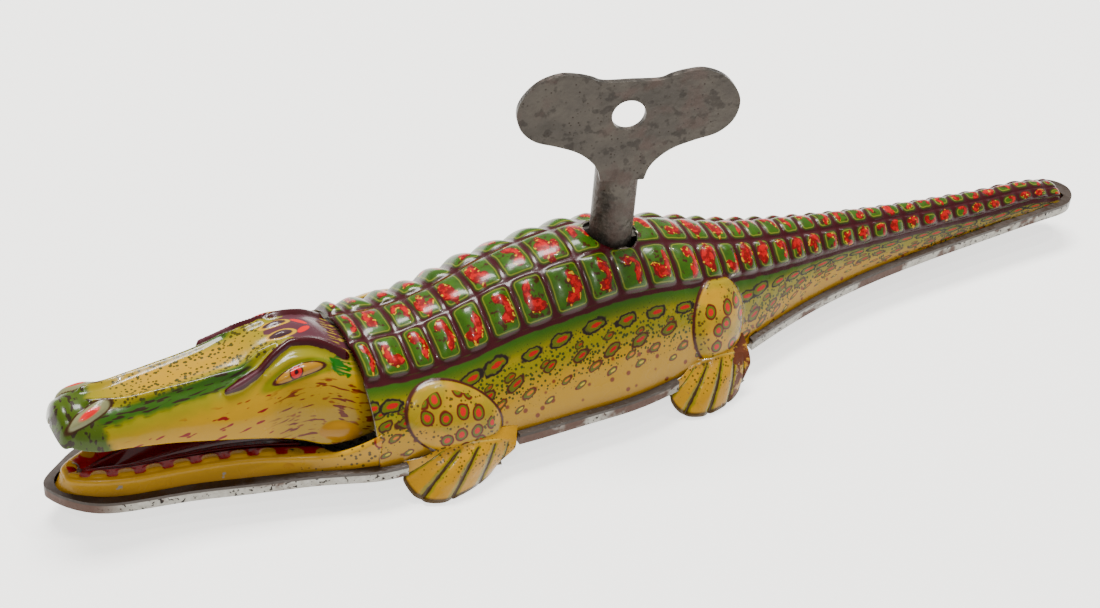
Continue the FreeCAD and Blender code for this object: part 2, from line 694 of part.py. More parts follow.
def make_key():
    """Butterfly key cut from one sheet: two lobes, a round hole, and a stem rolled into a square-bored shank."""
    lobe_x = key_span / 2 - key_lobe
    lobe_z = key_top - key_lobe
    neck_z = lobe_z - key_lobe - 4.2
    dip_z = key_top - 0.5
    sheet = key_sheet / 2
    wing = box(-lobe_x, lobe_x, -sheet, sheet, lobe_z - key_lobe * 0.72, dip_z)
    for side in (-1, 1):
        wing = wing.fuse(Part.makeCylinder(key_lobe, key_sheet, V(side * lobe_x, -sheet, lobe_z), V(0, 1, 0)))
    notch_z = lobe_z - key_lobe + 0.1
    stem = [V(-shank_radius, 0, neck_z), V(shank_radius, 0, neck_z), V(lobe_x, 0, notch_z),
            V(lobe_x, 0, lobe_z), V(-lobe_x, 0, lobe_z), V(-lobe_x, 0, notch_z)]
    blade = Part.Face(Part.makePolygon(stem + [stem[0]])).extrude(V(0, key_sheet, 0))
    blade.translate(V(0, -sheet, 0))
    wing = wing.fuse(blade)
    wing = wing.cut(Part.makeCylinder(key_hole_radius, 4, V(0, -2, lobe_z - 1.0), V(0, 1, 0)))
    wing.translate(V(0, -shank_radius + key_sheet, 0))
    shank = rod(shank_radius, 0, 0, shank_bottom_z, neck_z + 1.2)
    half = square_side / 2 + running
    bore = box(-half, half, -half, half, shank_bottom_z - 1, arbor_top_z + 1.5)
    bore = bore.fuse(rod(shank_radius - key_sheet, 0, 0, arbor_top_z, neck_z + 3))
    key = shank.cut(bore).fuse(wing.cut(rod(shank_radius - key_sheet, 0, 0, shank_bottom_z, neck_z + 1.2)))
    key = key.removeSplitter()
    key.rotate(V(0, 0, 0), V(0, 0, 1), key_yaw)
    key.translate(V(key_x, 0, 0))
    return key


PIECES = {
    "body_shell": make_body_shell, "base_plate": make_base_plate, "mouth_lining": make_mouth_lining,
    "head_shell": make_head_shell, "palate": make_palate, "head_lever": make_head_lever,
    "hinge_ears": make_hinge_ears, "hinge_pin": make_hinge_pin, "jaw_slide": make_jaw_slide,
    "slide_guide": make_slide_guide, "jaw_spring": make_jaw_spring, "spring_post": make_spring_post,
    "great_wheel": make_great_wheel, "ratchet_wheel": make_ratchet, "click": make_click,
    "click_rivet": make_click_rivet, "click_spring": make_click_spring, "winding_arbor": make_winding_arbor,
    "mainspring": make_mainspring, "lower_plate": make_lower_plate, "upper_plate": make_upper_plate,
    "plate_pillars": make_pillars, "mounting_posts": make_feet_posts, "crown_bridge": make_bridge,
    "crown_arbor": make_crown_arbor, "crown_pinion": make_crown_pinion, "crown_wheel": make_crown_wheel,
    "axle_pinion": make_axle_pinion, "drive_axle": make_drive_axle, "jaw_cam": make_cam,
    "winding_key": make_key,
}
for name, make in PIECES.items():
    save(make(), name)
for name, side in (("left", -1), ("right", 1)):
    save(make_wheel(side), name + "_wheel")
    save(make_tyre(side), name + "_tyre")
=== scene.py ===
"""Tin wind-up crocodile: printed shells, key and clockwork dressed round the fixed frame."""
import math

import bmesh
import bpy
import numpy as np
from mathutils import Matrix, Vector


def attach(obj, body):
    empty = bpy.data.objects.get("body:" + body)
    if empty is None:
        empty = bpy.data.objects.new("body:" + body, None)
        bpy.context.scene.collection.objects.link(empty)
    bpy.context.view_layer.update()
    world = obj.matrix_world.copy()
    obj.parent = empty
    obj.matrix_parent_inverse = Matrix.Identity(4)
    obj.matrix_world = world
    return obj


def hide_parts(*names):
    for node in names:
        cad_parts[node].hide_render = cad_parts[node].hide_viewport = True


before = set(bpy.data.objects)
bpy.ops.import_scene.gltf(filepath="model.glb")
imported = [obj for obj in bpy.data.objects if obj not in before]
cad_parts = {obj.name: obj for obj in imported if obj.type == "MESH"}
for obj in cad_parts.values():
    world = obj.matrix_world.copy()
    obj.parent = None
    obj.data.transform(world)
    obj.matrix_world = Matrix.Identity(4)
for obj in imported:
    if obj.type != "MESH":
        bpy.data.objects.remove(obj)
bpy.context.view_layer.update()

# ---- the back and tail ----
# One thin tinplate stamping, printed flat and then pressed over a die: three rows of raised tiles run
# from the neck to the tail, and the flanks below them are smooth. It is the body that all else hangs on.
mm = 0.001
toy_length = 154.4
half_width = 13.7
foot_z = 4.0
back_rise = 17.8
tail_lift = 1.8
tin = 0.45
key_x = toy_length * (0.4819 - 0.5)
key_hole_radius = 3.6
BACK = [(0.239, 0.92, 0.742), (0.281, 0.945, 0.713), (0.323, 0.964, 0.77), (0.3685, 0.993, 0.9),
        (0.42, 1.0, 0.983), (0.4657, 1.0, 1.0), (0.511, 0.927, 0.933), (0.556, 0.825, 0.815),
        (0.602, 0.672, 0.697), (0.6535, 0.504, 0.612), (0.718, 0.358, 0.53), (0.796, 0.27, 0.44),
        (0.887, 0.226, 0.355), (0.964, 0.204, 0.277), (0.981, 0.17, 0.22), (0.987, 0.03, 0.16)]
tile_lengths = [2.4, 4.1, 3.2, 3.6, 3.7, 4.2, 4.4, 5.0, 4.3, 4.5, 4.5, 4.5, 3.5, 3.1] + [3.0] * 20


def along(share):
    return toy_length * (share - 0.5)


def through(xs, ys, x):
    """A smooth curve through given stations, read at the places x."""
    xs, ys = np.asarray(xs, float), np.asarray(ys, float)
    slope = np.gradient(ys, xs)
    i = np.clip(np.searchsorted(xs, x) - 1, 0, len(xs) - 2)
    span = xs[i + 1] - xs[i]
    t = np.clip((x - xs[i]) / span, 0, 1)
    low = (2 * t**3 - 3 * t**2 + 1) * ys[i] + (t**3 - 2 * t**2 + t) * span * slope[i]
    return low + (3 * t**2 - 2 * t**3) * ys[i + 1] + (t**3 - t**2) * span * slope[i + 1]


def crowned(half, low, top, fullness, count):
    """Points evenly spaced round a crowned section, and their distance from the middle of its back."""
    turn = np.linspace(0, math.pi, 600)
    y = -half * np.cos(turn)
    z = low + (top - low) * np.clip(1 - np.cos(turn) ** 2, 0, 1) ** (1 / fullness)
    walked = np.concatenate(([0], np.cumsum(np.hypot(np.diff(y), np.diff(z)))))
    even = np.linspace(0, walked[-1], count)
    return np.interp(even, walked, y), np.interp(even, walked, z), even - walked[-1] / 2


def outward(points):
    """Unit normals of a grid of points, turned away from the sheet's own middle line."""
    normal = np.cross(np.gradient(points, axis=0), np.gradient(points, axis=1))
    normal /= np.linalg.norm(normal, axis=-1, keepdims=True) + 1e-9
    middle = points.mean(axis=1, keepdims=True)
    side = np.sign(np.sum((points - middle) * normal, axis=-1).sum())
    return normal * (side or 1)


def place_in_scene(name, data):
    made = bpy.data.objects.new(name, data)
    bpy.context.scene.collection.objects.link(made)
    return made


def sheet(name, points, marks, keep=None, thick=tin):
    """A pressed sheet from a grid of points in millimetres. Marks are numbers on them for the printing."""
    rows, cols = points.shape[:2]
    index = np.arange(rows * cols).reshape(rows, cols)
    faces = np.stack([index[:-1, :-1], index[1:, :-1], index[1:, 1:], index[:-1, 1:]], -1).reshape(-1, 4)
    if keep is not None:
        faces = faces[keep.ravel()]
    used = np.unique(faces)
    renumber = np.full(rows * cols, -1)
    renumber[used] = np.arange(len(used))
    flat = points.reshape(-1, 3)[used]
    faces = renumber[faces]
    corner = flat[faces]
    normal = np.cross(corner[:, 2] - corner[:, 0], corner[:, 3] - corner[:, 1])
    if np.sum(normal * outward(points).reshape(-1, 3)[used][faces[:, 0]]) < 0:
        faces = faces[:, ::-1]
    mesh = bpy.data.meshes.new(name)
    mesh.from_pydata((flat * mm).tolist(), [], faces.tolist())
    for mark, values in marks.items():
        layer = mesh.attributes.new(mark, "FLOAT_VECTOR", "POINT")
        layer.data.foreach_set("vector", values.reshape(-1, 3)[used].astype(np.float32).ravel())
    mesh.shade_smooth()
    piece = place_in_scene(name, mesh)
    wall = piece.modifiers.new("tin", "SOLIDIFY")
    wall.thickness = thick * mm
    wall.offset = -1
    wall.material_offset = 1
    wall.material_offset_rim = 1
    return piece


back_x = np.arange(along(BACK[0][0]), along(BACK[-1][0]) + 0.01, 0.34)
share = back_x / toy_length + 0.5
stations = np.array(BACK).T
wide = half_width * through(stations[0], stations[1], share)
top = foot_z + back_rise * through(stations[0], stations[2], share)
low = foot_z + tail_lift * np.clip(share - 0.6, 0, 1) / 0.4
fullness = 2.0 - 0.6 * np.clip((share - BACK[0][0]) / 0.15, 0, 1)
columns = 161
points = np.zeros((len(back_x), columns, 3))
arc = np.zeros((len(back_x), columns))
for i, x in enumerate(back_x):
    points[i, :, 1], points[i, :, 2], arc[i] = crowned(wide[i], low[i], top[i], fullness[i], columns)
    points[i, :, 0] = x

tile_edges = back_x[0] + np.concatenate(([0], np.cumsum(tile_lengths)))
tile_middles = (tile_edges[1:] + tile_edges[:-1]) / 2
tile_count = np.interp(back_x, tile_edges, np.arange(len(tile_edges)))[:, None] + 0 * arc
tile_length = np.interp(back_x, tile_middles, tile_lengths)[:, None] + 0 * arc
spine_half = through([-41, -27, -10, 4, 24, 45, 76], [2.9, 2.7, 3.3, 3.0, 2.2, 1.5, 0.9], back_x)[:, None]
side_width = through([-41, -14, 4, 18, 33, 60, 76], [5.4, 6.5, 5.8, 4.3, 3.0, 1.9, 1.3], back_x)[:, None]
reach = np.abs(arc)
flank = np.maximum(np.abs(arc[:, :1]) - spine_half - side_width, 0.5)
row = np.where(reach < spine_half, reach / spine_half, 1 + (reach - spine_half) / side_width)
row = np.minimum(row, 2) + np.maximum(reach - spine_half - side_width, 0) / flank
across = 2 * np.abs(tile_count % 1 - 0.5)
strength = np.interp(back_x, [-41, 15, 40, 76], [1, 0.9, 0.6, 0.3])[:, None]
spine_height, side_height, thigh_height = 0.5, 0.9, 1.5
spine_rise = spine_height * (1 - across**3) * np.clip(1 - row**4, 0, 1) * (row < 1)
side_rise = side_height * (1 - across**1.8) * np.clip(1 - np.abs(2 * row - 3) ** 5, 0, 1)
side_rise *= (row > 1) & (row < 2)
hole = np.hypot(points[..., 0] - key_x, points[..., 1])
rise = (spine_rise + side_rise) * strength * np.clip((hole - key_hole_radius - 0.3) / 1.5, 0, 1)
points += outward(points) * rise[..., None]
front_hip, rear_hip = (-30.2, 8.5), (9.2, 9.5)
front_x, front_z = points[..., 0] - front_hip[0], points[..., 2] - front_hip[1]
rear_x, rear_z = points[..., 0] - rear_hip[0], points[..., 2] - rear_hip[1]
front_thigh = np.hypot((front_x * 0.92 - front_z * 0.39) / 6.4, (front_x * 0.39 + front_z * 0.92) / 4.1)
rear_thigh = np.hypot(rear_x / 4.6, rear_z / 5.3)
thigh = np.minimum(front_thigh, rear_thigh)
swell = np.clip(1 - thigh**2, 0, 1) ** 0.6
points += outward(points) * (thigh_height * swell)[..., None]
# the punched key hole: the points nearest its edge move onto it, and the faces within it go
on_back = points[..., 2] > foot_z + 9
inside = (hole < key_hole_radius - 0.2) & on_back
at_edge = (hole < key_hole_radius + 0.22) & on_back & ~inside
stretch = np.where(at_edge, key_hole_radius / np.maximum(hole, 0.1), 1)
points[..., 0] = np.where(at_edge, key_x + (points[..., 0] - key_x) * stretch, points[..., 0])
points[..., 1] = np.where(at_edge, points[..., 1] * stretch, points[..., 1])
punched = inside[:-1, :-1] | inside[1:, :-1] | inside[1:, 1:] | inside[:-1, 1:]
signed_row = row * np.sign(arc)
marks = {"tile": np.stack([tile_count, signed_row, row], -1),
         "tile_size": np.stack([tile_length, spine_half + 0 * arc, side_width + 0 * arc], -1),
         "flank": np.stack([np.maximum(row - 2, 0) * flank, flank + 0 * arc, 0 * arc], -1),
         "thigh": np.stack([thigh, points[..., 0], points[..., 2]], -1)}
back = sheet("printed_back", points, marks, keep=~punched)
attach(back, "shell")
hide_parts("body_shell")


class Tone:
    """A socket of a finish. Arithmetic on it adds Math nodes, so printing is written as sums."""

    def __init__(self, finish, socket):
        self.finish, self.socket = finish, socket

    def __add__(self, other):
        return self.finish.math("ADD", self, other)

    def __mul__(self, other):
        return self.finish.math("MULTIPLY", self, other)

    def __sub__(self, other):
        return self.finish.math("SUBTRACT", self, other)

    def __rsub__(self, other):
        return self.finish.math("SUBTRACT", other, self)

    def __truediv__(self, other):
        return self.finish.math("DIVIDE", self, other)

    def __pow__(self, other):
        return self.finish.math("POWER", self, other)

    def __abs__(self):
        return self.finish.math("ABSOLUTE", self)

    __radd__ = __add__
    __rmul__ = __mul__


class Finish:
    """One finish being mixed: adds nodes, joins sockets and ends in the shader's own inputs."""

    def __init__(self, name):
        self.material = bpy.data.materials.new(name)
        self.material.use_nodes = True
        self.tree = self.material.node_tree
        self.shader = self.tree.nodes["Principled BSDF"]

    def join(self, value, socket):
        if isinstance(value, Tone):
            self.tree.links.new(value.socket, socket)
        elif isinstance(value, tuple) and socket.type == "RGBA":
            socket.default_value = (*value[:3], 1.0)
        else:
            socket.default_value = value

    def node(self, kind, settings=(), inputs=()):
        """Any node: its settings first, then the values or links of its sockets."""
        made = self.tree.nodes.new("ShaderNode" + kind)
        for key, value in dict(settings).items():
            setattr(made, key, value)
        for key, value in dict(inputs).items():
            self.join(value, made.inputs[key])
        return made

    def math(self, operation, *values):
        return Tone(self, self.node("Math", {"operation": operation}, enumerate(values)).outputs[0])

    def mix(self, factor, first, second):
        """First where factor is 0, second where it is 1."""
        made = self.node("Mix", {"data_type": "RGBA"}, {0: factor, 6: first, 7: second})
        return Tone(self, made.outputs[2])

    def mark(self, name):
        """The three numbers that a sheet carries under this name."""
        read = self.node("Attribute", {"attribute_name": name})
        split = self.node("SeparateXYZ", {}, {0: Tone(self, read.outputs["Vector"])})
        return [Tone(self, socket) for socket in split.outputs]

    def point(self, x=0.0, y=0.0, z=0.0):
        return Tone(self, self.node("CombineXYZ", {}, {0: x, 1: y, 2: z}).outputs[0])

    def place(self):
        return Tone(self, self.node("TexCoord").outputs["Object"])

    def noise(self, size, detail=2.0, place=None):
        """Cloudy variation whose lumps are about size millimetres."""
        scale = 1 / (size * mm) if place is None else 1 / size
        inputs = {"Vector": place or self.place(), "Scale": scale, "Detail": detail}
        return Tone(self, self.node("TexNoise", {}, inputs).outputs["Fac"])

    def cells(self, size, place=None, randomness=1.0):
        """Distance to the nearest of many scattered points about size millimetres apart."""
        scale = 1 / (size * mm) if place is None else 1 / size
        inputs = {"Vector": place or self.place(), "Scale": scale, "Randomness": randomness}
        made = self.node("TexVoronoi", {"voronoi_dimensions": "3D" if place is None else "2D"}, inputs)
        return Tone(self, made.outputs["Distance"])

    def chance(self, *seeds):
        """A random number that stays the same wherever the seeds do."""
        made = self.node("TexWhiteNoise", {"noise_dimensions": "3D"}, {"Vector": self.point(*seeds)})
        return Tone(self, made.outputs["Value"])

    def below(self, value, limit, soft=0.05):
        """1 where value is under the limit, 0 above it, with an edge as soft as asked."""
        inputs = {"Value": value, 1: limit - soft, 2: limit + soft, 3: 1.0, 4: 0.0}
        return Tone(self, self.node("MapRange", {"interpolation_type": "SMOOTHSTEP"}, inputs).outputs[0])

    def paint(self, colour, metal=None):
        """Joins the colour, and how much of it is bare metal where that varies."""
        self.join(colour, self.shader.inputs["Base Color"])
        if metal:
            self.join(metal, self.shader.inputs["Metallic"])

    def wear(self, bump, depth, roughness, **constants):
        """Joins the surface relief and sets what is the same all over."""
        made = self.node("Bump", {}, {"Height": bump, "Strength": 1.0, "Distance": depth * mm})
        self.join(Tone(self, made.outputs[0]), self.shader.inputs["Normal"])
        self.join(roughness, self.shader.inputs["Roughness"])
        for name, value in constants.items():
            self.shader.inputs[name.replace("_", " ").title().replace("Ior", "IOR")].default_value = value


def ink(red, green, blue):
    """A printer's colour given on the usual 0 to 255 scale, laid on a little richer than it looks."""
    light = [c / 255 / 12.92 if c < 11 else ((c / 255 + 0.055) / 1.055) ** 2.4 for c in (red, green, blue)]
    grey = sum(light) / 3
    return tuple(max(0.001, (grey + (c - grey) * 1.5) * 0.46) for c in light)


maroon, leaf, olive = ink(58, 22, 26), ink(54, 84, 28), ink(120, 128, 70)
orange, blood, gold = ink(200, 66, 14), ink(104, 20, 20), ink(205, 168, 40)
yellow, ochre = ink(186, 150, 8), ink(158, 120, 10)
line_black, plum, cream = ink(34, 24, 22), ink(88, 58, 64), ink(216, 190, 110)
tin_grey = ink(176, 172, 164)


def spots(finish, colour, count, pitch, down, middle, phase, length, width, tilt, core, ring):
    """One row of ringed spots, one to a tile: dark outline, dull fill and a bright heart."""
    cell = (count + phase) - finish.math("FLOOR", count + phase)
    number = finish.math("FLOOR", count + phase)
    luck = finish.chance(number, middle, 1.0)
    other = finish.chance(number, middle, 2.0)
    x = (cell - 0.5) * pitch + (luck - 0.5) * 1.2
    y = down - middle - (other - 0.5) * 0.9 + x * tilt
    size = luck * 0.35 + 0.8
    ragged = (finish.noise(0.8, 1.0) - 0.5) * 0.7
    far = finish.math("SQRT", (x / length) ** 2.0 + (y / width) ** 2.0) / size + ragged
    heart = finish.math("SQRT", ((x - 0.15) / (length * 0.6)) ** 2.0 + (y / (width * 0.42)) ** 2.0) / size
    colour = finish.mix(finish.below(far, 1.0, 0.1), colour, ring)
    colour = finish.mix(finish.below(far, 0.7, 0.08), colour, ink(96, 100, 50))
    return finish.mix(finish.below(heart + ragged, 0.72, 0.15), colour, core)


def chipped(finish, colour, size, share):
    """Paints a finish with its lacquer flaked off in small chips down to the bright tin."""
    chips = finish.below(finish.noise(size, 6.0), share, 0.01)
    finish.paint(finish.mix(chips, colour, tin_grey), chips * 0.9)


def stipple(finish, colour, size, amount, shade):
    """Fine printed dots; amount from 0 to 1 says how large they are."""
    return finish.mix(finish.below(finish.cells(size), amount * 0.42, 0.05), colour, shade)


tiles = Finish("printed_tiles")
count, signed, rows = tiles.mark("tile")
length, spine, side = tiles.mark("tile_size")
down, flank_width, _ = tiles.mark("flank")
# place on the tile: s along the back and t across it, in millimetres from its middle
is_spine = tiles.below(rows, 1.0, 0.01)
s = (count - tiles.math("FLOOR", count) - 0.5) * length
half_s = length * 0.5
half_t = is_spine * spine + (1.0 - is_spine) * side * 0.5
t = is_spine * signed * spine + (1.0 - is_spine) * (rows - 1.5) * side
# the tile is a rectangle with rounded corners: edge is the distance from its outline
wobble = tiles.noise(1.6, 1.0) - 0.5
corner = 1.0
q_s = abs(s) - half_s + corner
q_t = abs(t) - half_t + corner
out = tiles.math("SQRT", tiles.math("MAXIMUM", q_s, 0.0) ** 2.0 + tiles.math("MAXIMUM", q_t, 0.0) ** 2.0)
edge = out + tiles.math("MINIMUM", tiles.math("MAXIMUM", q_s, q_t), 0.0) - corner + wobble * 0.25
# a broken red ring and bar on each tile, never twice the same
tile_no = tiles.math("FLOOR", count)
luck = tiles.chance(tile_no, is_spine, 3.0)
lean = tiles.chance(tile_no, is_spine, 4.0)
u = s / half_s + (luck - 0.5) * 0.25 + wobble * 0.5
v = t / half_t + (lean - 0.5) * 0.2 + (tiles.noise(1.1, 1.0) - 0.5) * 0.5
ring = abs(tiles.math("SQRT", u**2.0 + v**2.0) - 0.44)
angle = tiles.math("ARCTAN2", v, u) / (2 * math.pi) + luck
gap_at = tiles.math("FRACT", angle + 1.0)
broken = tiles.below(abs(gap_at - 0.5), 0.33, 0.04)
bar = tiles.math("SQRT", ((u + 0.1) / 0.16) ** 2.0 + ((v + 0.1) / 0.45) ** 2.0)
blotch = tiles.math("MINIMUM", ring / 0.14 + (1.0 - broken) * 4.0, bar + tiles.below(luck, 0.6, 0.01) * 4.0)
# the tile from its field outwards, then the maroon between the tiles
field = tiles.mix(tiles.noise(1.4, 3.0), ink(38, 58, 20), ink(74, 108, 40))
within = tiles.below(edge, -0.62, 0.12)
tile_colour = tiles.mix(within, ink(52, 60, 30), field)
tile_colour = tiles.mix(within * tiles.below(tiles.noise(0.9, 3.0), 0.4, 0.04), tile_colour, ink(60, 40, 26))
tile_colour = tiles.mix(tiles.below(abs(edge + 0.56), 0.07, 0.06), tile_colour, olive)
tile_colour = tiles.mix(tiles.below(blotch, 1.75, 0.12), tile_colour, blood)
heat = tiles.mix(tiles.below(tiles.noise(0.7, 3.0), 0.5, 0.08), ink(186, 60, 12), ink(122, 26, 14))
tile_colour = tiles.mix(tiles.below(blotch, 1.12, 0.1), tile_colour, heat)
fleck = tiles.below(tiles.noise(0.55, 1.0), 0.39, 0.03)
tile_colour = tiles.mix(fleck * tiles.below(abs(blotch - 1.3), 0.4, 0.1), tile_colour, gold)
tile_colour = tiles.mix(1.0 - tiles.below(edge, -0.3, 0.1), tile_colour, maroon)

# the flank: green under the tiles, yellow below, dotted where they meet
narrow = tiles.below(flank_width, 8.0, 2.0)
squeeze = 1.0 - narrow * 0.62
deep = down / squeeze
shade = tiles.mix(tiles.below(deep + wobble, 3.0, 1.0), yellow, leaf)
shade = tiles.mix(tiles.below(abs(deep - 4.2), 1.8, 1.6), shade, ink(138, 130, 26))
shade = tiles.mix(tiles.below(flank_width - down, 1.4, 1.6), shade, ochre)
dots = tiles.below(abs(deep - 5.4), 3.2, 2.4) * 0.9
shade = stipple(tiles, shade, 0.5, dots, ink(58, 66, 22))
freckles = tiles.below(abs(deep - 10.0), 3.5, 1.5) * 0.45
shade = stipple(tiles, shade, 1.7, freckles, ink(120, 70, 24))
# each row: how far below the tiles, shift along, length, width, tilt, heart, outline
for spot_row in ((9.3, 0.1, 0.75, 0.42, 0.25, cream, ink(96, 50, 26)),
                 (7.7, 0.6, 0.95, 0.55, 0.3, ink(208, 130, 60), ink(92, 50, 30)),
                 (4.5, 0.15, 0.8, 0.5, 0.2, ink(150, 70, 30), ink(74, 50, 26)),
                 (5.8, 0.05, 1.25, 0.75, 0.3, ink(172, 62, 22), ink(70, 40, 28)),
                 (2.9, 0.55, 1.9, 0.95, 0.12, ink(176, 58, 20), line_black)):
    shade = spots(tiles, shade, count, length, deep, *spot_row)
# a maroon line parts the flank from the tiles
border = abs(down - 0.35 + wobble * 0.5)
shade = tiles.mix(tiles.below(border, 0.34, 0.1), shade, maroon)
printed = tiles.mix(tiles.below(rows, 2.0, 0.01), shade, tile_colour)
# the thighs: yellow, with small ringed spots and a dark outline
thigh, at_x, at_z = tiles.mark("thigh")
leg = tiles.mix(tiles.noise(4.0, 2.0), ink(176, 138, 12), ink(206, 166, 16))
upper = tiles.below(6.0 - at_z, 0.0, 3.0)
leg = tiles.mix(tiles.below(tiles.noise(3.0, 2.0), 0.52, 0.12) * upper * 0.5, leg, ink(112, 122, 26))
leg = stipple(tiles, leg, 0.55, tiles.below(tiles.noise(2.2, 1.0), 0.52, 0.1) * 0.85, ink(84, 70, 22))
far = tiles.cells(2.35, tiles.point(at_x, at_z + wobble * 0.5, 0.0), 0.55)
far = far + (1.0 - tiles.below(thigh, 0.8, 0.04)) * 2.0
leg = tiles.mix(tiles.below(far, 0.37, 0.03), leg, ink(92, 40, 22))
leg = tiles.mix(tiles.below(far, 0.27, 0.03), leg, ink(92, 104, 44))
leg = tiles.mix(tiles.below(far, 0.16, 0.04), leg, ink(200, 56, 14))
printed = tiles.mix(tiles.below(thigh, 1.0, 0.03), printed, leg)
outline = tiles.below(abs(thigh - 1.0), 0.035, 0.02) * tiles.below(5.6 - at_z, 0.0, 0.8)
printed = tiles.mix(outline, printed, ink(66, 30, 18))
chipped(tiles, printed, 2.6, 0.25)
dents = tiles.noise(5.0, 2.0) + tiles.noise(0.7, 2.0) * 0.06
gloss = {"specular_ior_level": 0.15, "coat_weight": 0.14, "coat_roughness": 0.05}
tiles.wear(dents, 0.35, tiles.noise(3.0, 3.0) * 0.16 + 0.2, **gloss)

bare = Finish("bare_tinplate")
streak = bare.noise(0.8, 4.0)
stain = bare.below(bare.noise(3.5, 5.0), 0.45, 0.06)
metal = bare.mix(streak, ink(120, 114, 104), ink(206, 202, 192))
metal = bare.mix(stain, metal, ink(92, 68, 50))
metal = bare.mix(bare.below(bare.noise(1.1, 5.0), 0.37, 0.02), metal, ink(44, 38, 34))
bare.paint(metal, 0.95 - stain * 0.7)
bare.wear(bare.noise(0.5, 4.0), 0.06, streak * 0.25 + 0.28 + stain * 0.25)


def face_with(piece, outside, inside):
    """Finishes of a sheet: its outer face, then its inner face and cut edges."""
    for finish in (outside, inside):
        piece.data.materials.append(finish.material)


face_with(back, tiles, bare)

# ---- the lower jaw ----
# Pressed in one with the body: a wall that leans in to a rounded rim, and inside the rim a sloping
# band printed red with a row of yellow teeth. At the cheeks the wall climbs to meet the neck.
JAW = [(0.016, 0.19, 0.11), (0.03, 0.305, 0.205), (0.055, 0.395, 0.3), (0.095, 0.475, 0.375),
       (0.145, 0.62, 0.49), (0.19, 0.745, 0.68), (0.213, 0.83, 0.8), (0.241, 0.905, 0.9)]
jaw_tip_share, rim_tip_share = 0.0055, 0.0135
jaw_rim_z, cheek_z = 6.7, 9.6
climb_from, climb_length = along(0.185), 9.0
rim_radius = 0.6
band_full, band_drop = 2.2, 0.5
band_back_x, teeth_back_x = -44.8, -49.0
tooth_pitch, tooth_half, tooth_reach, tooth_height = 3.3, 1.15, 1.7, 0.35


def jaw_path(column, tip_share, p):
    """Plan of the jaw from the near cheek round the tip to the far one, read at shares p of its stations."""
    near = [(along(row[0]), -half_width * row[column]) for row in JAW[::-1]]
    ring = near + [(along(tip_share), 0.0)] + [(x, -y) for x, y in near[::-1]]
    foot = [(along(row[0]), -half_width * row[1]) for row in JAW[::-1]]
    walk = foot + [(along(jaw_tip_share), 0.0)] + [(x, -y) for x, y in foot[::-1]]
    far = np.concatenate(([0], np.cumsum(np.hypot(*np.diff(np.array(walk), axis=0).T))))
    ring = np.array(ring)
    return np.stack([through(far, ring[:, 0], p * far[-1]), through(far, ring[:, 1], p * far[-1])], -1)


p = np.linspace(0, 1, 301)
foot, rim = jaw_path(1, jaw_tip_share, p), jaw_path(2, rim_tip_share, p)
tangent = np.gradient(rim, axis=0)
tangent /= np.linalg.norm(tangent, axis=1, keepdims=True)
inward = np.stack([tangent[:, 1], -tangent[:, 0]], -1)
climb = np.clip((rim[:, 0] - climb_from) / climb_length, 0, 1) ** 2.0
rim_top = jaw_rim_z + (cheek_z - jaw_rim_z) * climb
walked = np.concatenate(([0], np.cumsum(np.linalg.norm(np.diff(rim, axis=0), axis=1))))
from_tip = walked - walked[len(p) // 2]
band_width = band_full * (1 - 0.45 * np.exp(-(from_tip / 3.5) ** 2)) * (1 - 0.85 * climb)
band_width *= np.clip((band_back_x - rim[:, 0]) / 2.4, 0.12, 1)
jaw_points, jaw_marks = [], []
for v in np.linspace(0, 1, 11):
    side_place = foot + (rim - foot) * v
    jaw_points.append(np.column_stack([side_place, foot_z + (rim_top - rim_radius - foot_z) * v]))
    jaw_marks.append(np.column_stack([from_tip, 0 * from_tip + v * 3 - 4, jaw_points[-1][:, 2]]))
for turn in np.linspace(0, math.pi / 2, 7)[1:]:
    over = rim + inward * rim_radius * (1 - math.cos(turn))
    jaw_points.append(np.column_stack([over, rim_top - rim_radius * (1 - math.sin(turn))]))
    at_rim = 0 * from_tip - 1 + turn / (math.pi / 2)
    jaw_marks.append(np.column_stack([from_tip, at_rim, jaw_points[-1][:, 2]]))
tooth_at = np.abs(np.abs(from_tip) / tooth_pitch % 1 - 0.5) * tooth_pitch
toothed = np.clip((teeth_back_x - rim[:, 0]) / 2.5, 0, 1)
for v in np.linspace(0, 1, 13)[1:]:
    band = band_width * v
    tooth = np.clip(1 - (tooth_at / tooth_half) ** 4 - (band / tooth_reach) ** 4, 0, 1) ** 0.5
    tooth *= tooth_height * toothed
    place = rim + inward * (rim_radius + band)[:, None]
    jaw_points.append(np.column_stack([place, rim_top - band_drop * v**1.5 * (1 - 0.6 * climb) + tooth]))
    jaw_marks.append(np.column_stack([from_tip, band, jaw_points[-1][:, 2]]))
jaw = sheet("lower_jaw", np.stack(jaw_points, 1), {"jaw": np.stack(jaw_marks, 1)})
mouth_edge = jaw_points[-1]
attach(jaw, "shell")
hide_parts("body_shell")

lip = Finish("printed_jaw")
walk_mm, band, height = lip.mark("jaw")
# the teeth stand at an even pitch in the red band
cell = lip.math("FRACT", abs(walk_mm) / tooth_pitch)
x = (cell - 0.5) * tooth_pitch
tooth = (x / 1.05) ** 2.0 + (lip.math("MAXIMUM", band - 0.35, 0.0) / 1.15) ** 2.0 + lip.noise(1.2, 1.0) * 0.3
shade = lip.mix(lip.below(height, 5.2, 1.1), ink(190, 152, 20), ochre)
rear = 1.0 - lip.below(abs(walk_mm), 30.0, 8.0)
shade = stipple(lip, shade, 0.6, rear * 0.8, ink(84, 70, 22))
gum = lip.mix(lip.below(band, 1.9, 0.15), ink(70, 10, 18), ink(160, 22, 30))
gums = (1.0 - lip.below(band, 0.12, 0.08)) * (1.0 - lip.below(tooth, 1.0, 0.12))
printed = lip.mix(gums, shade, gum)
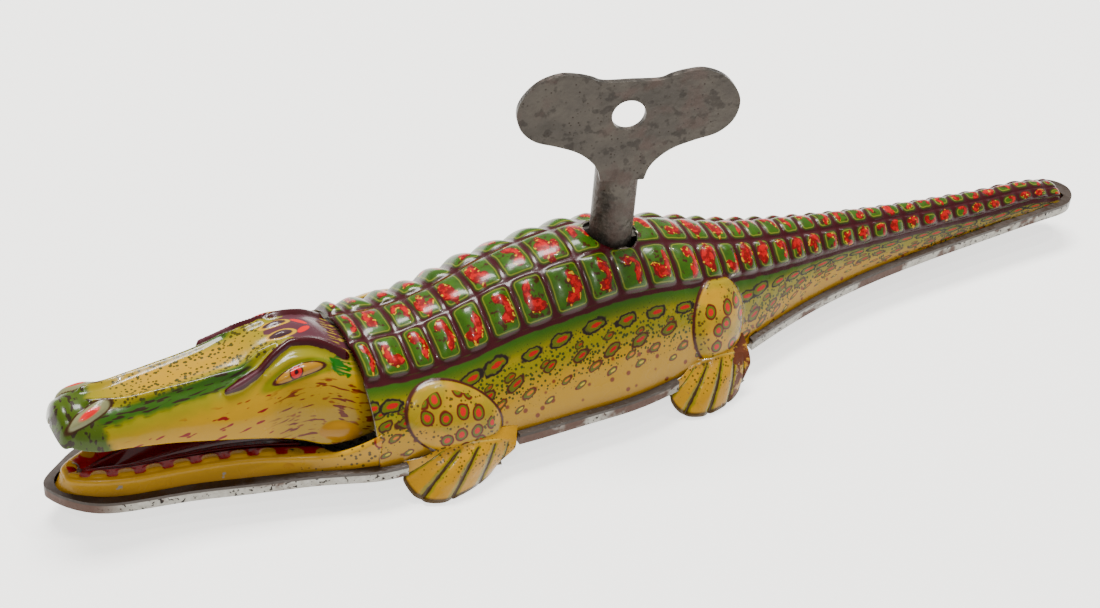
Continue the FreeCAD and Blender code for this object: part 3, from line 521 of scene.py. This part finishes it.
# ringed spots on the cheeks
ring_far = lip.cells(3.4)
cheek_spot = rear * lip.below(height, 9.0, 0.3) * (1.0 - lip.below(height, 5.6, 0.3))
printed = lip.mix(cheek_spot * lip.below(ring_far, 0.24, 0.02), printed, ink(110, 44, 26))
printed = lip.mix(cheek_spot * lip.below(ring_far, 0.17, 0.02), printed, ink(196, 150, 60))
printed = lip.mix(cheek_spot * lip.below(ring_far, 0.09, 0.02), printed, orange)
chipped(lip, printed, 2.2, 0.28)
lip.wear(lip.noise(4.0, 2.0), 0.3, lip.noise(3.0, 3.0) * 0.16 + 0.2, **gloss)
face_with(jaw, lip, bare)

# ---- the feet ----
# Each foot is a fan of the same tin that springs from the thigh, stands off at the elbow and comes
# down to the table in four webbed toes. Dark creases part the toes; heel and edge are worn bare.
FRONT = {"root": [(-34.5, 12.3, 6.0), (-28.0, 13.0, 6.6), (-22.0, 13.2, 5.9)],
         "knee": [(-33.0, 13.3, 5.9), (-27.5, 14.3, 6.0), (-22.6, 14.2, 4.6)],
         "tips": [(-37.6, 12.6, 5.0), (-37.5, 13.4, 2.3), (-36.4, 15.5, 0.7), (-34.0, 16.8, 0.35),
                  (-31.0, 16.5, 0.35), (-28.0, 15.6, 0.4), (-25.8, 14.7, 0.8), (-23.4, 14.2, 2.6)]}
REAR = {"root": [(2.6, 11.2, 6.2), (8.5, 10.4, 6.8), (13.6, 9.2, 6.4)],
        "knee": [(3.6, 12.0, 5.7), (8.6, 12.2, 6.2), (13.0, 12.0, 5.2)],
        "tips": [(0.2, 13.0, 4.8), (0.3, 13.8, 2.2), (1.5, 15.2, 0.7), (3.7, 16.1, 0.35), (6.3, 15.9, 0.35),
                 (8.8, 15.1, 0.4), (10.9, 14.0, 0.8), (12.6, 12.9, 3.0)]}
knee_at = 0.3
first_toe, last_toe, toes_across = 0.09, 0.89, 5.0
arch_height, crease_depth, claw_height, off_table = 0.9, 0.42, 0.5, 0.12


def foot(name, curves, side):
    """The fan of one foot: three given curves from the thigh over the knee to the toes."""
    u, v = np.meshgrid(np.linspace(0, 1, 91), np.linspace(0, 1, 45), indexing="ij")

    def curve(stops):
        stops = np.array(stops)
        return np.stack([through(np.linspace(0, 1, len(stops)), stops[:, i], u) for i in range(3)], -1)

    root, knee, tips = (curve(curves[key]) for key in ("root", "knee", "tips"))
    near = v < knee_at
    t = np.where(near, v / knee_at, (v - knee_at) / (1 - knee_at))[..., None]
    place = np.where(near[..., None], root + (knee - root) * (2 * t - t**2), knee + (tips - knee) * t)
    arch = np.sin(math.pi * t[..., 0]) * ~near
    crease = np.abs((u - first_toe) * toes_across % 1 - 0.5) * 2
    crease = np.where((u < first_toe) | (u > last_toe), 0.0, crease)
    valley = np.clip((crease - 0.55) / 0.45, 0, 1) ** 1.5 * np.clip(v * 1.5 - 0.45, 0, 1)
    place[..., 2] += arch_height * arch * np.sin(math.pi * np.clip(u * 1.1, 0, 1)) - crease_depth * valley
    place[..., 1] += 0.5 * arch - 0.25 * valley
    place[..., :2] += (tips - knee)[..., :2] * (-0.07 * valley * v**6)[..., None]
    claw = np.exp(-((u - 0.9) / 0.05) ** 2 - ((v - 0.95) / 0.16) ** 2)
    place[..., 2] = np.maximum(place[..., 2] + claw_height * claw, off_table)
    place[..., 1] *= side
    return sheet(name, place, {"foot": np.stack([u, v, crease], -1),
                               "claw": np.stack([claw, place[..., 0], place[..., 2]], -1)})


web = Finish("printed_foot")
across_foot, out, crease = web.mark("foot")
claw, at_x, height = web.mark("claw")
cloud = web.noise(1.2, 2.0) - 0.5
shade = web.mix(web.noise(4.0, 2.0), ink(172, 132, 12), ink(204, 162, 16))
shade = stipple(web, shade, 0.5, web.below(abs(out - 0.5), 0.3, 0.2) * 0.7, ink(92, 78, 22))
# dark creases between the toes, and a painted highlight: a pale streak over the knuckles
toes = 1.0 - web.below(out + cloud * 0.2, 0.36, 0.04)
shade = web.mix(toes * (1.0 - web.below(crease + cloud * 0.4, 0.62, 0.1)) * 0.7, shade, ink(120, 126, 30))
shade = web.mix(toes * (1.0 - web.below(crease + cloud * 0.25, 0.84, 0.06)), shade, ink(66, 48, 18))
# painted highlight: a pale cream streak across the foot where it bends at the knuckles
knuckle_highlight = web.below(abs(out - 0.27), 0.035, 0.03) * web.below(across_foot, 0.75, 0.1)
shade = web.mix(knuckle_highlight * 0.6, shade, ink(224, 206, 140))
rear_heel = (1.0 - web.below(at_x, 4.0, 4.0)) * (1.0 - web.below(across_foot, 0.7, 0.12))
worn = web.below(0.97 - out, 0.0, 0.03) * 0.2
rust = web.below(web.noise(1.6, 5.0) - worn - claw * 0.2 - rear_heel * 0.26, 0.3, 0.04)
shade = web.mix(rust, shade, ink(92, 52, 30))
shade = web.mix(1.0 - web.below(out, 0.955, 0.015), shade, ink(80, 62, 36))
chip = web.below(web.noise(1.4, 4.0) - claw * 0.5, 0.24, 0.02)
shade = web.mix(chip, shade, ink(196, 194, 188))
web.paint(shade, chip * 0.95)
web.wear(web.noise(1.8, 3.0) - rust * 0.3, 0.25, rust * 0.4 + 0.24,
         specular_ior_level=0.15, coat_weight=0.12, coat_roughness=0.07)
for end, curves in (("front", FRONT), ("rear", REAR)):
    for hand, side in (("left", -1), ("right", 1)):
        piece = foot(f"{end}_{hand}_foot", curves, side)
        face_with(piece, web, bare)
        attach(piece, "shell")
        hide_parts("body_shell")

# ---- the upper jaw and crown ----
# A second stamping, hinged inside the neck: long snout with raised nostrils, a ridge from each nostril
# back to a maroon brow that curls over the eye, a plum crown and plain swelling cheeks.
HEAD = [(0.01, 0.87, -0.15, 0.68), (0.07, 0.885, -0.19, 0.76), (0.18, 0.885, -0.2, 0.955),
        (0.26, 0.82, -0.12, 0.985), (0.34, 0.765, -0.07, 0.9), (0.44, 0.7, -0.05, 0.74),
        (0.53, 0.635, -0.05, 0.635), (0.66, 0.55, -0.05, 0.53), (0.79, 0.505, -0.05, 0.435),
        (0.9, 0.465, -0.05, 0.4), (0.955, 0.36, -0.04, 0.34), (0.99, 0.2, -0.03, 0.23),
        (1.0, 0.02, 0.05, 0.12)]
hinge = (along(BACK[0][0]) + 1.5, 9.0)
head_length = hinge[0] + toy_length / 2 - 0.8
head_half, head_rise, gape = 10.4, 9.6, math.radians(7.5)
head_tin = 0.25

ahead_share = np.concatenate((np.arange(0.01, 0.95, 0.008), np.linspace(0.95, 1.0, 14)))
stations = np.array(HEAD).T
wide = head_half * through(stations[0], stations[1], ahead_share)
low = hinge[1] + head_rise * through(stations[0], stations[2], ahead_share)
top = hinge[1] + head_rise * through(stations[0], stations[3], ahead_share)
columns = 131
points = np.zeros((len(ahead_share), columns, 3))
arc = np.zeros(points.shape[:2])
for i, share in enumerate(ahead_share):
    points[i, :, 1], points[i, :, 2], arc[i] = crowned(wide[i], low[i], top[i], 2.0, columns)
    points[i, :, 0] = hinge[0] - head_length * share
ahead = (ahead_share * head_length)[:, None] + 0 * arc
reach = np.abs(arc)


def line_gap(stops):
    """Distance in the sheet from a drawn line, given as (ahead, round) stops."""
    best = np.full(ahead.shape, 99.0)
    stops = [np.array(stop, float) for stop in stops]
    for a, b in zip(stops, stops[1:]):
        run = b - a
        t = np.clip(((ahead - a[0]) * run[0] + (reach - a[1]) * run[1]) / (run @ run), 0, 1)
        best = np.minimum(best, np.hypot(ahead - a[0] - t * run[0], reach - a[1] - t * run[1]))
    return best


def oval_gap(middle, long_half, short_half, lean=0.0):
    """1 on the edge of an oval drawn on the sheet, 0 at its middle."""
    x, y = ahead - middle[0], reach - middle[1]
    u, v = x * math.cos(lean) + y * math.sin(lean), y * math.cos(lean) - x * math.sin(lean)
    return np.hypot(u / long_half, v / short_half)


ridge = line_gap([(33.5, 1.2), (28.7, 2.0), (22.7, 2.5), (18.5, 2.9), (16.0, 3.4), (13.8, 2.4), (11.7, 2.3)])
brow = line_gap([(18.2, 5.0), (16.0, 4.8), (14.2, 4.5), (12.5, 3.6), (10.2, 2.7), (7.5, 2.9), (3.6, 3.9)])
brow_width = np.interp(ahead, [3, 7, 11, 14, 16.5, 18.2], [0.75, 0.6, 0.42, 0.45, 0.62, 0.3])
eye = oval_gap((9.8, 6.25), 2.9, 0.68, 0.1)
iris = oval_gap((10.3, 6.3), 0.68, 0.72)
lid = line_gap([(13.6, 5.4), (10.6, 4.7), (8.0, 4.9), (6.0, 5.8)])
nostril = oval_gap((33.8, 2.7), 2.4, 0.8, 0.3)
nub = oval_gap((10.6, 1.05), 1.5, 0.5)
dash = oval_gap((7.6, 0.8), 1.1, 0.35, 0.5)
cheek = oval_gap((5.0, 13.9), 2.9, 1.4, 0.1)
patch = oval_gap((4.3, 5.6), 1.5, 1.2)
crown_half = np.interp(ahead, [0, 6, 12], [4.4, 3.2, 1.6])
crown = np.clip(1 - np.abs(ahead - 5.5) / 7.5, 0, 1) * np.clip(1.25 - reach / crown_half, 0, 1)
ridge_height, brow_height, eye_height, lid_height = 0.55, 0.75, 0.55, 0.35
nostril_height, nub_height, cheek_height, groove_depth = 0.5, 0.3, 0.5, 0.25
fade = np.clip(ahead / 1.5, 0, 1) * np.clip((head_length - ahead) / 1.2, 0, 1)
brow = brow / np.maximum(brow_width, 0.3)
rise = ridge_height * np.exp(-(ridge / 0.5) ** 2) + brow_height * np.exp(-(brow**2))
rise += eye_height * np.clip(1 - eye**2, 0, 1) ** 0.5 + lid_height * np.exp(-(lid / 0.55) ** 2)
rise += nostril_height * np.clip(1 - nostril**2, 0, 1) ** 0.6 + nub_height * np.clip(1 - nub**2, 0, 1)
rise += cheek_height * np.clip(1 - cheek**2, 0, 1)
on_snout = np.clip((ahead - 14) / 4, 0, 1) * np.clip((34 - ahead) / 3, 0, 1)
rise -= groove_depth * np.exp(-((reach / 1.4) ** 2)) * on_snout
points += outward(points) * (rise * fade)[..., None]
x, z = points[..., 0] - hinge[0], points[..., 2] - hinge[1]
points[..., 0] = hinge[0] + x * math.cos(gape) + z * math.sin(gape)
points[..., 2] = hinge[1] - x * math.sin(gape) + z * math.cos(gape)
head = sheet("printed_head", points, {
    "face": np.stack([ahead, reach, brow], -1),
    "ovals": np.stack([eye, iris, nostril], -1),
    "areas": np.stack([crown, cheek, patch], -1),
    "dots": np.stack([nub, dash, 0 * arc], -1)}, thick=head_tin)
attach(head, "head")
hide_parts("head_shell")

face = Finish("printed_face")
ahead, reach, brow = face.mark("face")
eye, iris, nostril = face.mark("ovals")
crown, cheek, patch = face.mark("areas")
nub, dash, _ = face.mark("dots")
cloud = face.noise(2.2, 2.0) - 0.5
fine = face.noise(0.9, 2.0) - 0.5
shade = face.mix(face.below(reach + cloud * 1.5, 6.2, 1.8), yellow, ink(138, 132, 32))
snout_top = face.below(abs(ahead - 22.0), 8.0, 5.0) * face.below(reach, 2.0, 0.8)
shade = face.mix(snout_top, shade, ink(186, 150, 10))
# a dotted stripe down the snout, and a streaked green band under each ridge
dotted = (1.0 - face.below(reach, 0.1, 1.0)) * face.below(reach, 3.0, 0.3)
dotted = dotted * (1.0 - face.below(ahead, 11.0, 1.0)) * face.below(ahead, 31.0, 1.5)
shade = stipple(face, shade, 0.52, dotted, ink(74, 68, 24))
under_ridge = (1.0 - face.below(reach, 2.7, 0.3)) * face.below(reach + cloud * 1.4, 4.6, 0.4)
under_ridge = under_ridge * (1.0 - face.below(ahead, 15.0, 1.0))
shade = face.mix(under_ridge, shade, leaf)
streaks = face.noise(1.0, 1.0, face.point(ahead * 0.45, reach * 2.4, 0.0))
shade = face.mix(under_ridge * face.below(streaks, 0.44, 0.03), shade, ink(44, 34, 22))
# the green, hatched tip of the nose
tip = 1.0 - face.below(ahead + cloud * 3.0 + reach * 0.2, 33.6, 0.6)
shade = face.mix(tip, shade, ink(70, 86, 34))
hatch = face.below(face.noise(1.0, 1.0, face.point(ahead * 1.6, reach * 0.9, 3.0)), 0.42, 0.03)
shade = face.mix(tip * hatch, shade, ink(44, 34, 22))
# short dashes on the sides of the snout, denser on the jowl
side_zone = (1.0 - face.below(reach, 6.6, 0.8)) * face.below(ahead, 30.0, 1.0)
dashes = face.below(face.noise(1.0, 1.0, face.point(ahead * 0.5, reach * 1.5, 7.0)), 0.355, 0.02)
shade = face.mix(side_zone * dashes * (1.0 - face.below(cheek, 1.05, 0.05)), shade, ink(126, 38, 22))
jowl = face.below(ahead + cloud * 2.0, 13.0, 2.0) * (1.0 - face.below(reach, 7.4, 0.8))
shade = face.mix(jowl * 0.45, shade, ink(120, 108, 40))
lashes = face.below(face.noise(1.0, 1.0, face.point(ahead * 0.5, reach * 2.2, 11.0)), 0.4, 0.03)
shade = face.mix(jowl * lashes * (1.0 - face.below(cheek, 1.05, 0.05)), shade, ink(96, 48, 22))
shade = face.mix(face.below(cheek, 1.0, 0.06), shade, ink(160, 122, 14))
# green round the eye and on the temple, plum on the crown
around = face.below(eye, 1.7, 0.25) * face.below(ahead, 15.0, 1.0)
shade = face.mix(around * 0.7, shade, ink(96, 112, 40))
shade = face.mix(face.below(patch + fine, 1.0, 0.12), shade, ink(40, 92, 36))
shade = face.mix((1.0 - face.below(crown + fine * 0.5, 0.14, 0.03)), shade, plum)
rays = face.below(face.noise(1.0, 1.0, face.point(ahead * 0.5, reach * 3.0, 5.0)), 0.44, 0.03)
shade = face.mix(rays * face.below(ahead, 4.5, 0.8) * face.below(reach, 7.0, 0.5), shade, ink(170, 150, 96))
shade = face.mix(face.below(dash, 1.0, 0.1), shade, ink(224, 84, 60))
shade = face.mix(face.below(brow + fine * 0.6, 1.15, 0.1), shade, maroon)
shade = face.mix(face.below(brow, 0.55, 0.1) * (1.0 - face.below(ahead, 14.4, 0.3)), shade, plum)
# drawn shapes, each laid over the one before: the shape, how far out it goes, its softness, its colour
for shape, limit, soft, colour in ((nub, 1.35, 0.1, gold), (nub, 1.0, 0.1, ink(70, 52, 56)),
                                   (nostril, 1.3, 0.1, ink(60, 40, 26)),
                                   (nostril, 1.05, 0.1, ink(140, 140, 112)),
                                   (nostril, 0.5, 0.15, ink(214, 74, 88)),
                                   (eye, 1.18, 0.06, ink(64, 30, 20)), (eye, 1.0, 0.06, ink(166, 126, 6))):
    shade = face.mix(face.below(shape, limit, soft), shade, colour)
in_eye = face.below(eye, 1.0, 0.06)
shade = face.mix(in_eye * face.below(iris, 1.2, 0.1), shade, ink(48, 24, 20))
shade = face.mix(in_eye * face.below(iris, 0.95, 0.1), shade, ink(196, 48, 34))
shade = face.mix(face.below(iris, 0.4, 0.1), shade, ink(40, 16, 20))
chipped(face, shade, 2.4, 0.26)
face.wear(face.noise(4.0, 2.0), 0.3, face.noise(3.0, 3.0) * 0.14 + 0.18, **gloss)
face_with(head, face, bare)

# ---- the lining of the mouth ----
# The dish in the lower jaw and the plate in the roof of the mouth are the same tin under a thick,
# glossy maroon lacquer that has run a little.


def dress(finish, *nodes):
    """Gives a finish to pieces that keep their own shape."""
    for name in nodes:
        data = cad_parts[name].data
        data.materials.clear()
        data.materials.append(finish.material)


dish_depth, dish_lip, dish_tin = 1.5, 2.4, 0.3
in_mouth = mouth_edge[:, 0] < along(0.19)
edge = mouth_edge[in_mouth]
floor_x = np.maximum(edge[:, 0], edge[:, 0].min() + dish_lip)
floor_line = np.column_stack([floor_x, 0 * edge[:, 1], edge[:, 2]])
dish_points = []
for t in np.linspace(0, 1, 25):
    ring = edge + (floor_line - edge) * t
    ring[:, 2] -= dish_depth * (1 - (1 - t) ** 2.4)
    dish_points.append(ring)
dish = sheet("mouth_dish", np.stack(dish_points, 1), {}, thick=dish_tin)
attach(dish, "shell")
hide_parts("mouth_lining")

lacquer = Finish("maroon_lacquer")
lacquer.paint(lacquer.mix(lacquer.noise(6.0, 3.0), ink(96, 10, 22), ink(136, 18, 36)))
lacquer.wear(lacquer.noise(4.0, 2.0), 0.15, lacquer.noise(1.5, 3.0) * 0.08 + 0.1,
             specular_ior_level=0.3, coat_weight=0.3, coat_roughness=0.04)
face_with(dish, lacquer, lacquer)
dress(lacquer, "mouth_lining", "palate")

# ---- the bottom plate and what is folded from bare sheet ----
# Uncoated tinplate, mottled bright and dull and browned with rust where hands have held it.
scratched = Finish("scratched_tin")
mist = scratched.noise(0.7, 5.0)
run = scratched.node("SeparateXYZ", {}, {0: scratched.place()})
at_x, at_z = (Tone(scratched, run.outputs[i]) / mm for i in (0, 2))
tone = scratched.mix(mist, ink(122, 118, 110), ink(222, 220, 214))
tone = scratched.mix(scratched.below(scratched.noise(0.5, 5.0), 0.4, 0.02), tone, ink(40, 36, 34))
rusty = scratched.below(scratched.noise(7.0, 4.0), 0.46, 0.03)
rusty = scratched.math("MAXIMUM", rusty, scratched.below(at_x, -71.0, 2.5))
tone = scratched.mix(rusty, tone, ink(78, 50, 36))
# painted shade and rust: a dark brown band along the top edge of the plate, standing for the shadow line
# under the jaw's edge, rising towards the tail
shadow_and_rust_band = 1.0 - scratched.below(at_z - scratched.math("MAXIMUM", (at_x - 15.4) * 0.029, 0.0), 4.68, 0.06)
tone = scratched.mix(shadow_and_rust_band, tone, ink(46, 32, 20))
scratched.paint(tone, 0.9 - scratched.math("MAXIMUM", rusty, shadow_and_rust_band) * 0.7)
scratched.wear(mist, 0.08, mist * 0.3 + 0.25 + rusty * 0.2)
dress(scratched, "base_plate")
dress(bare, "head_lever", "hinge_ears", "jaw_slide", "slide_guide", "spring_post",
      "lower_plate", "upper_plate", "crown_bridge", "jaw_cam", "left_wheel", "right_wheel")

# ---- the winding key ----
# Cut from thick steel sheet, its stem rolled into a socket. The steel is dull and grey, darkened in
# patches, finely pitted, and rusty brown in patches, most of all on the stem.
steel = Finish("worn_key_steel")
cloudy = steel.noise(5.0, 5.0)
pits = steel.cells(0.7)
stem = steel.below(Tone(steel, steel.node("SeparateXYZ", {}, {0: steel.place()}).outputs[2]) / mm, 32.0, 1.5)
rusty = steel.below(steel.noise(3.0, 6.0) - stem * 0.1, 0.38, 0.09)
tone = steel.mix(cloudy, ink(54, 52, 51), ink(108, 103, 97))
tone = steel.mix(steel.below(steel.noise(1.3, 6.0), 0.42, 0.04) * 0.5, tone, ink(40, 36, 34))
tone = steel.mix(rusty * 0.6, tone, ink(74, 52, 42))
pitted = steel.below(pits, 0.16, 0.06) * steel.below(steel.noise(2.0, 2.0), 0.5, 0.1)
tone = steel.mix(pitted, tone, ink(46, 38, 34))
steel.paint(tone, 0.85 - rusty * 0.55)
steel.wear(steel.noise(0.8, 5.0) + pits * 0.5, 0.12, steel.noise(1.6, 4.0) * 0.3 + 0.28 + rusty * 0.2)
key_yaw = math.radians(-17)
hole_z, hole_radius, stem_radius, key_sheet = 40.1, 2.1, 2.75, 0.8
HALF_WING = [(0.0, 4.75), (3.4, 4.75), (4.9, 5.3), (6.6, 5.75), (8.9, 5.9), (11.4, 4.9), (13.2, 2.9),
             (13.8, 0.9), (13.2, -1.4), (11.4, -3.1), (8.6, -4.0), (6.2, -4.9), (4.5, -6.1), (3.3, -7.6),
             (2.75, -9.4)]
stem_top, shoulder_foot, shoulder_drop = hole_z - 7.4, hole_z - 9.4, 1.2
worn_edge = 0.18


def at_key(across, deep, height):
    """From the key's own directions to the toy's, in millimetres."""
    turn, lean = math.cos(key_yaw), math.sin(key_yaw)
    return np.stack([key_x + across * turn - deep * lean, across * lean + deep * turn, height], -1)


stops = np.array(HALF_WING)
fine_steps = np.linspace(0, len(stops) - 1, 113)
half = np.stack([through(np.arange(len(stops)), stops[:, i], fine_steps) for i in (0, 1)], -1)
outline = np.concatenate([half, half[:0:-1] * (-1, 1)])
turns = np.linspace(0, 2 * math.pi, 49)[:-1]
hole_ring = hole_radius * np.stack([np.cos(turns), np.sin(turns)], -1)
blank = bmesh.new()
for loop in (outline, hole_ring):
    flat = at_key(loop[:, 0], key_sheet / 2 - stem_radius + 0 * loop[:, 0], hole_z + loop[:, 1])
    ring = [blank.verts.new(Vector(point) * mm) for point in flat]
    for here, there in zip(ring, ring[1:] + ring[:1]):
        blank.edges.new((here, there))
bmesh.ops.triangle_fill(blank, use_beauty=True, edges=blank.edges[:])
wing_mesh = bpy.data.meshes.new("key_wings")
blank.to_mesh(wing_mesh)
blank.free()
wings = place_in_scene("key_wings", wing_mesh)
plate = wings.modifiers.new("plate", "SOLIDIFY")
plate.thickness = key_sheet * mm
plate.offset = 0
rounding = wings.modifiers.new("rounding", "BEVEL")
rounding.width = worn_edge * mm
rounding.segments = 2
rounding.limit_method = "ANGLE"
rounding.angle_limit = math.radians(40)

stem_low = min(corner[2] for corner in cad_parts["winding_key"].bound_box) / mm
around, up = np.meshgrid(np.linspace(0, 2 * math.pi, 65), np.linspace(stem_low, stem_top, 30))
rising = np.clip((up - shoulder_foot) / (stem_top - shoulder_foot), 0, 1)
shoulder = rising * np.clip(1 + np.sin(around), 0, 1) * shoulder_drop
rolled = at_key(stem_radius * np.cos(around), stem_radius * np.sin(around), up - shoulder)
stem = sheet("key_stem", rolled, {}, thick=key_sheet)
for piece in (wings, stem):
    face_with(piece, steel, steel)
    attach(piece, "key")
    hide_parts("winding_key")
dress(steel, "winding_key")

# ---- the clockwork ----
# Stamped brass wheels and pinions on turned steel arbors, a blued mainspring and its small hair springs,
# all under a film of old oil. The drive wheels wear black rubber bands.
brass = Finish("oiled_brass")
brass.paint(brass.mix(brass.noise(2.5, 5.0), ink(150, 112, 50), ink(214, 176, 92)))
brass.wear(brass.noise(0.3, 3.0), 0.02, brass.noise(1.2, 3.0) * 0.2 + 0.22, metallic=1.0)
dress(brass, "great_wheel", "click_rivet", "crown_pinion", "crown_wheel", "axle_pinion")

turned = Finish("turned_steel")
turned.paint(turned.mix(turned.noise(1.8, 4.0), ink(120, 120, 122), ink(196, 196, 198)))
turned.wear(turned.noise(0.25, 3.0), 0.02, turned.noise(1.0, 3.0) * 0.2 + 0.2, metallic=1.0)
dress(turned, "hinge_pin", "ratchet_wheel", "click", "winding_arbor", "plate_pillars", "mounting_posts",
      "crown_arbor", "drive_axle")

blued = Finish("blued_spring")
blued.paint(blued.mix(blued.noise(2.0, 4.0), ink(44, 52, 78), ink(86, 92, 112)))
blued.wear(blued.noise(0.3, 3.0), 0.02, blued.noise(1.0, 3.0) * 0.2 + 0.22, metallic=1.0)
dress(blued, "jaw_spring", "click_spring", "mainspring")

rubber = Finish("black_rubber")
rubber.paint(rubber.mix(rubber.noise(1.5, 4.0), ink(22, 22, 23), ink(52, 50, 48)))
rubber.wear(rubber.noise(0.4, 3.0), 0.08, rubber.noise(1.0, 3.0) * 0.2 + 0.6)
dress(rubber, "left_tyre", "right_tyre")

# ---- the stage: a pale table, soft studio light and the camera ----
# The toy stands on bright white paper under one broad lamp behind it. Two small, weak lamps leave sharp
# glints on the lacquer. The camera looks down from the front left and is tipped a little to one side.
view_target = Vector((-10.8, 0.0, 11.8)) * mm
view_distance = 251 * mm
view_azimuth, view_elevation, view_roll = math.radians(-31.5), math.radians(37.5), math.radians(5.0)
sensor = 36.0
focal_length = 64.0
camera = place_in_scene("camera", bpy.data.cameras.new("camera"))
bpy.context.scene.camera = camera
towards = Vector((math.sin(view_azimuth) * math.cos(view_elevation),
                  -math.cos(view_azimuth) * math.cos(view_elevation), math.sin(view_elevation)))
camera.location = view_target + towards * view_distance
upright = (-towards).to_track_quat("-Z", "Y")
camera.rotation_mode = "QUATERNION"
camera.rotation_quaternion = upright @ Matrix.Rotation(view_roll, 3, "Z").to_quaternion()
camera.data.sensor_width = sensor
camera.data.lens = focal_length
camera.data.clip_start = 0.01

paper = Finish("white_paper")
paper.paint(paper.mix(paper.noise(40.0, 2.0), ink(250, 249, 246), ink(254, 253, 249)))
paper.shader.inputs["Emission Color"].default_value = (1.0, 0.99, 0.965, 1.0)
paper.wear(paper.noise(0.6, 2.0), 0.02, 0.8, emission_strength=1.7)
floor_mesh = bpy.data.meshes.new("table")
half_span = 3.0
corners = [(-half_span, -half_span, 0), (half_span, -half_span, 0), (half_span, half_span, 0),
           (-half_span, half_span, 0)]
floor_mesh.from_pydata(corners, [], [(0, 1, 2, 3)])
floor_mesh.materials.append(paper.material)
floor = place_in_scene("table", floor_mesh)

world = bpy.data.worlds.new("studio")
bpy.context.scene.world = world
world.use_nodes = True
room = world.node_tree.nodes["Background"].inputs
room["Color"].default_value = (1.0, 0.99, 0.97, 1.0)
room["Strength"].default_value = 0.7
aim = Vector((0, 0, 0.01))
spot_size = (0.036, 0.022)


def lamp(name, place, size, energy, colour):
    """A soft box aimed a little above the table under the toy."""
    light = bpy.data.lights.new(name, "AREA")
    light.shape = "RECTANGLE"
    light.size, light.size_y = size
    light.energy = energy
    light.color = colour
    holder = place_in_scene(name, light)
    holder.location = place
    holder.rotation_mode = "QUATERNION"
    holder.rotation_quaternion = (Vector(place) - aim).to_track_quat("Z", "Y")


lamp("window", (0.05, 0.3, 0.9), (0.5, 0.25), 25.0, (1.0, 0.99, 0.97))
lamp("front_box", (-0.35, -0.45, 0.8), spot_size, 2.8, (1.0, 0.98, 0.95))
lamp("ceiling_spot", (0.25, -0.1, 0.9), spot_size, 2.8, (1.0, 0.98, 0.95))
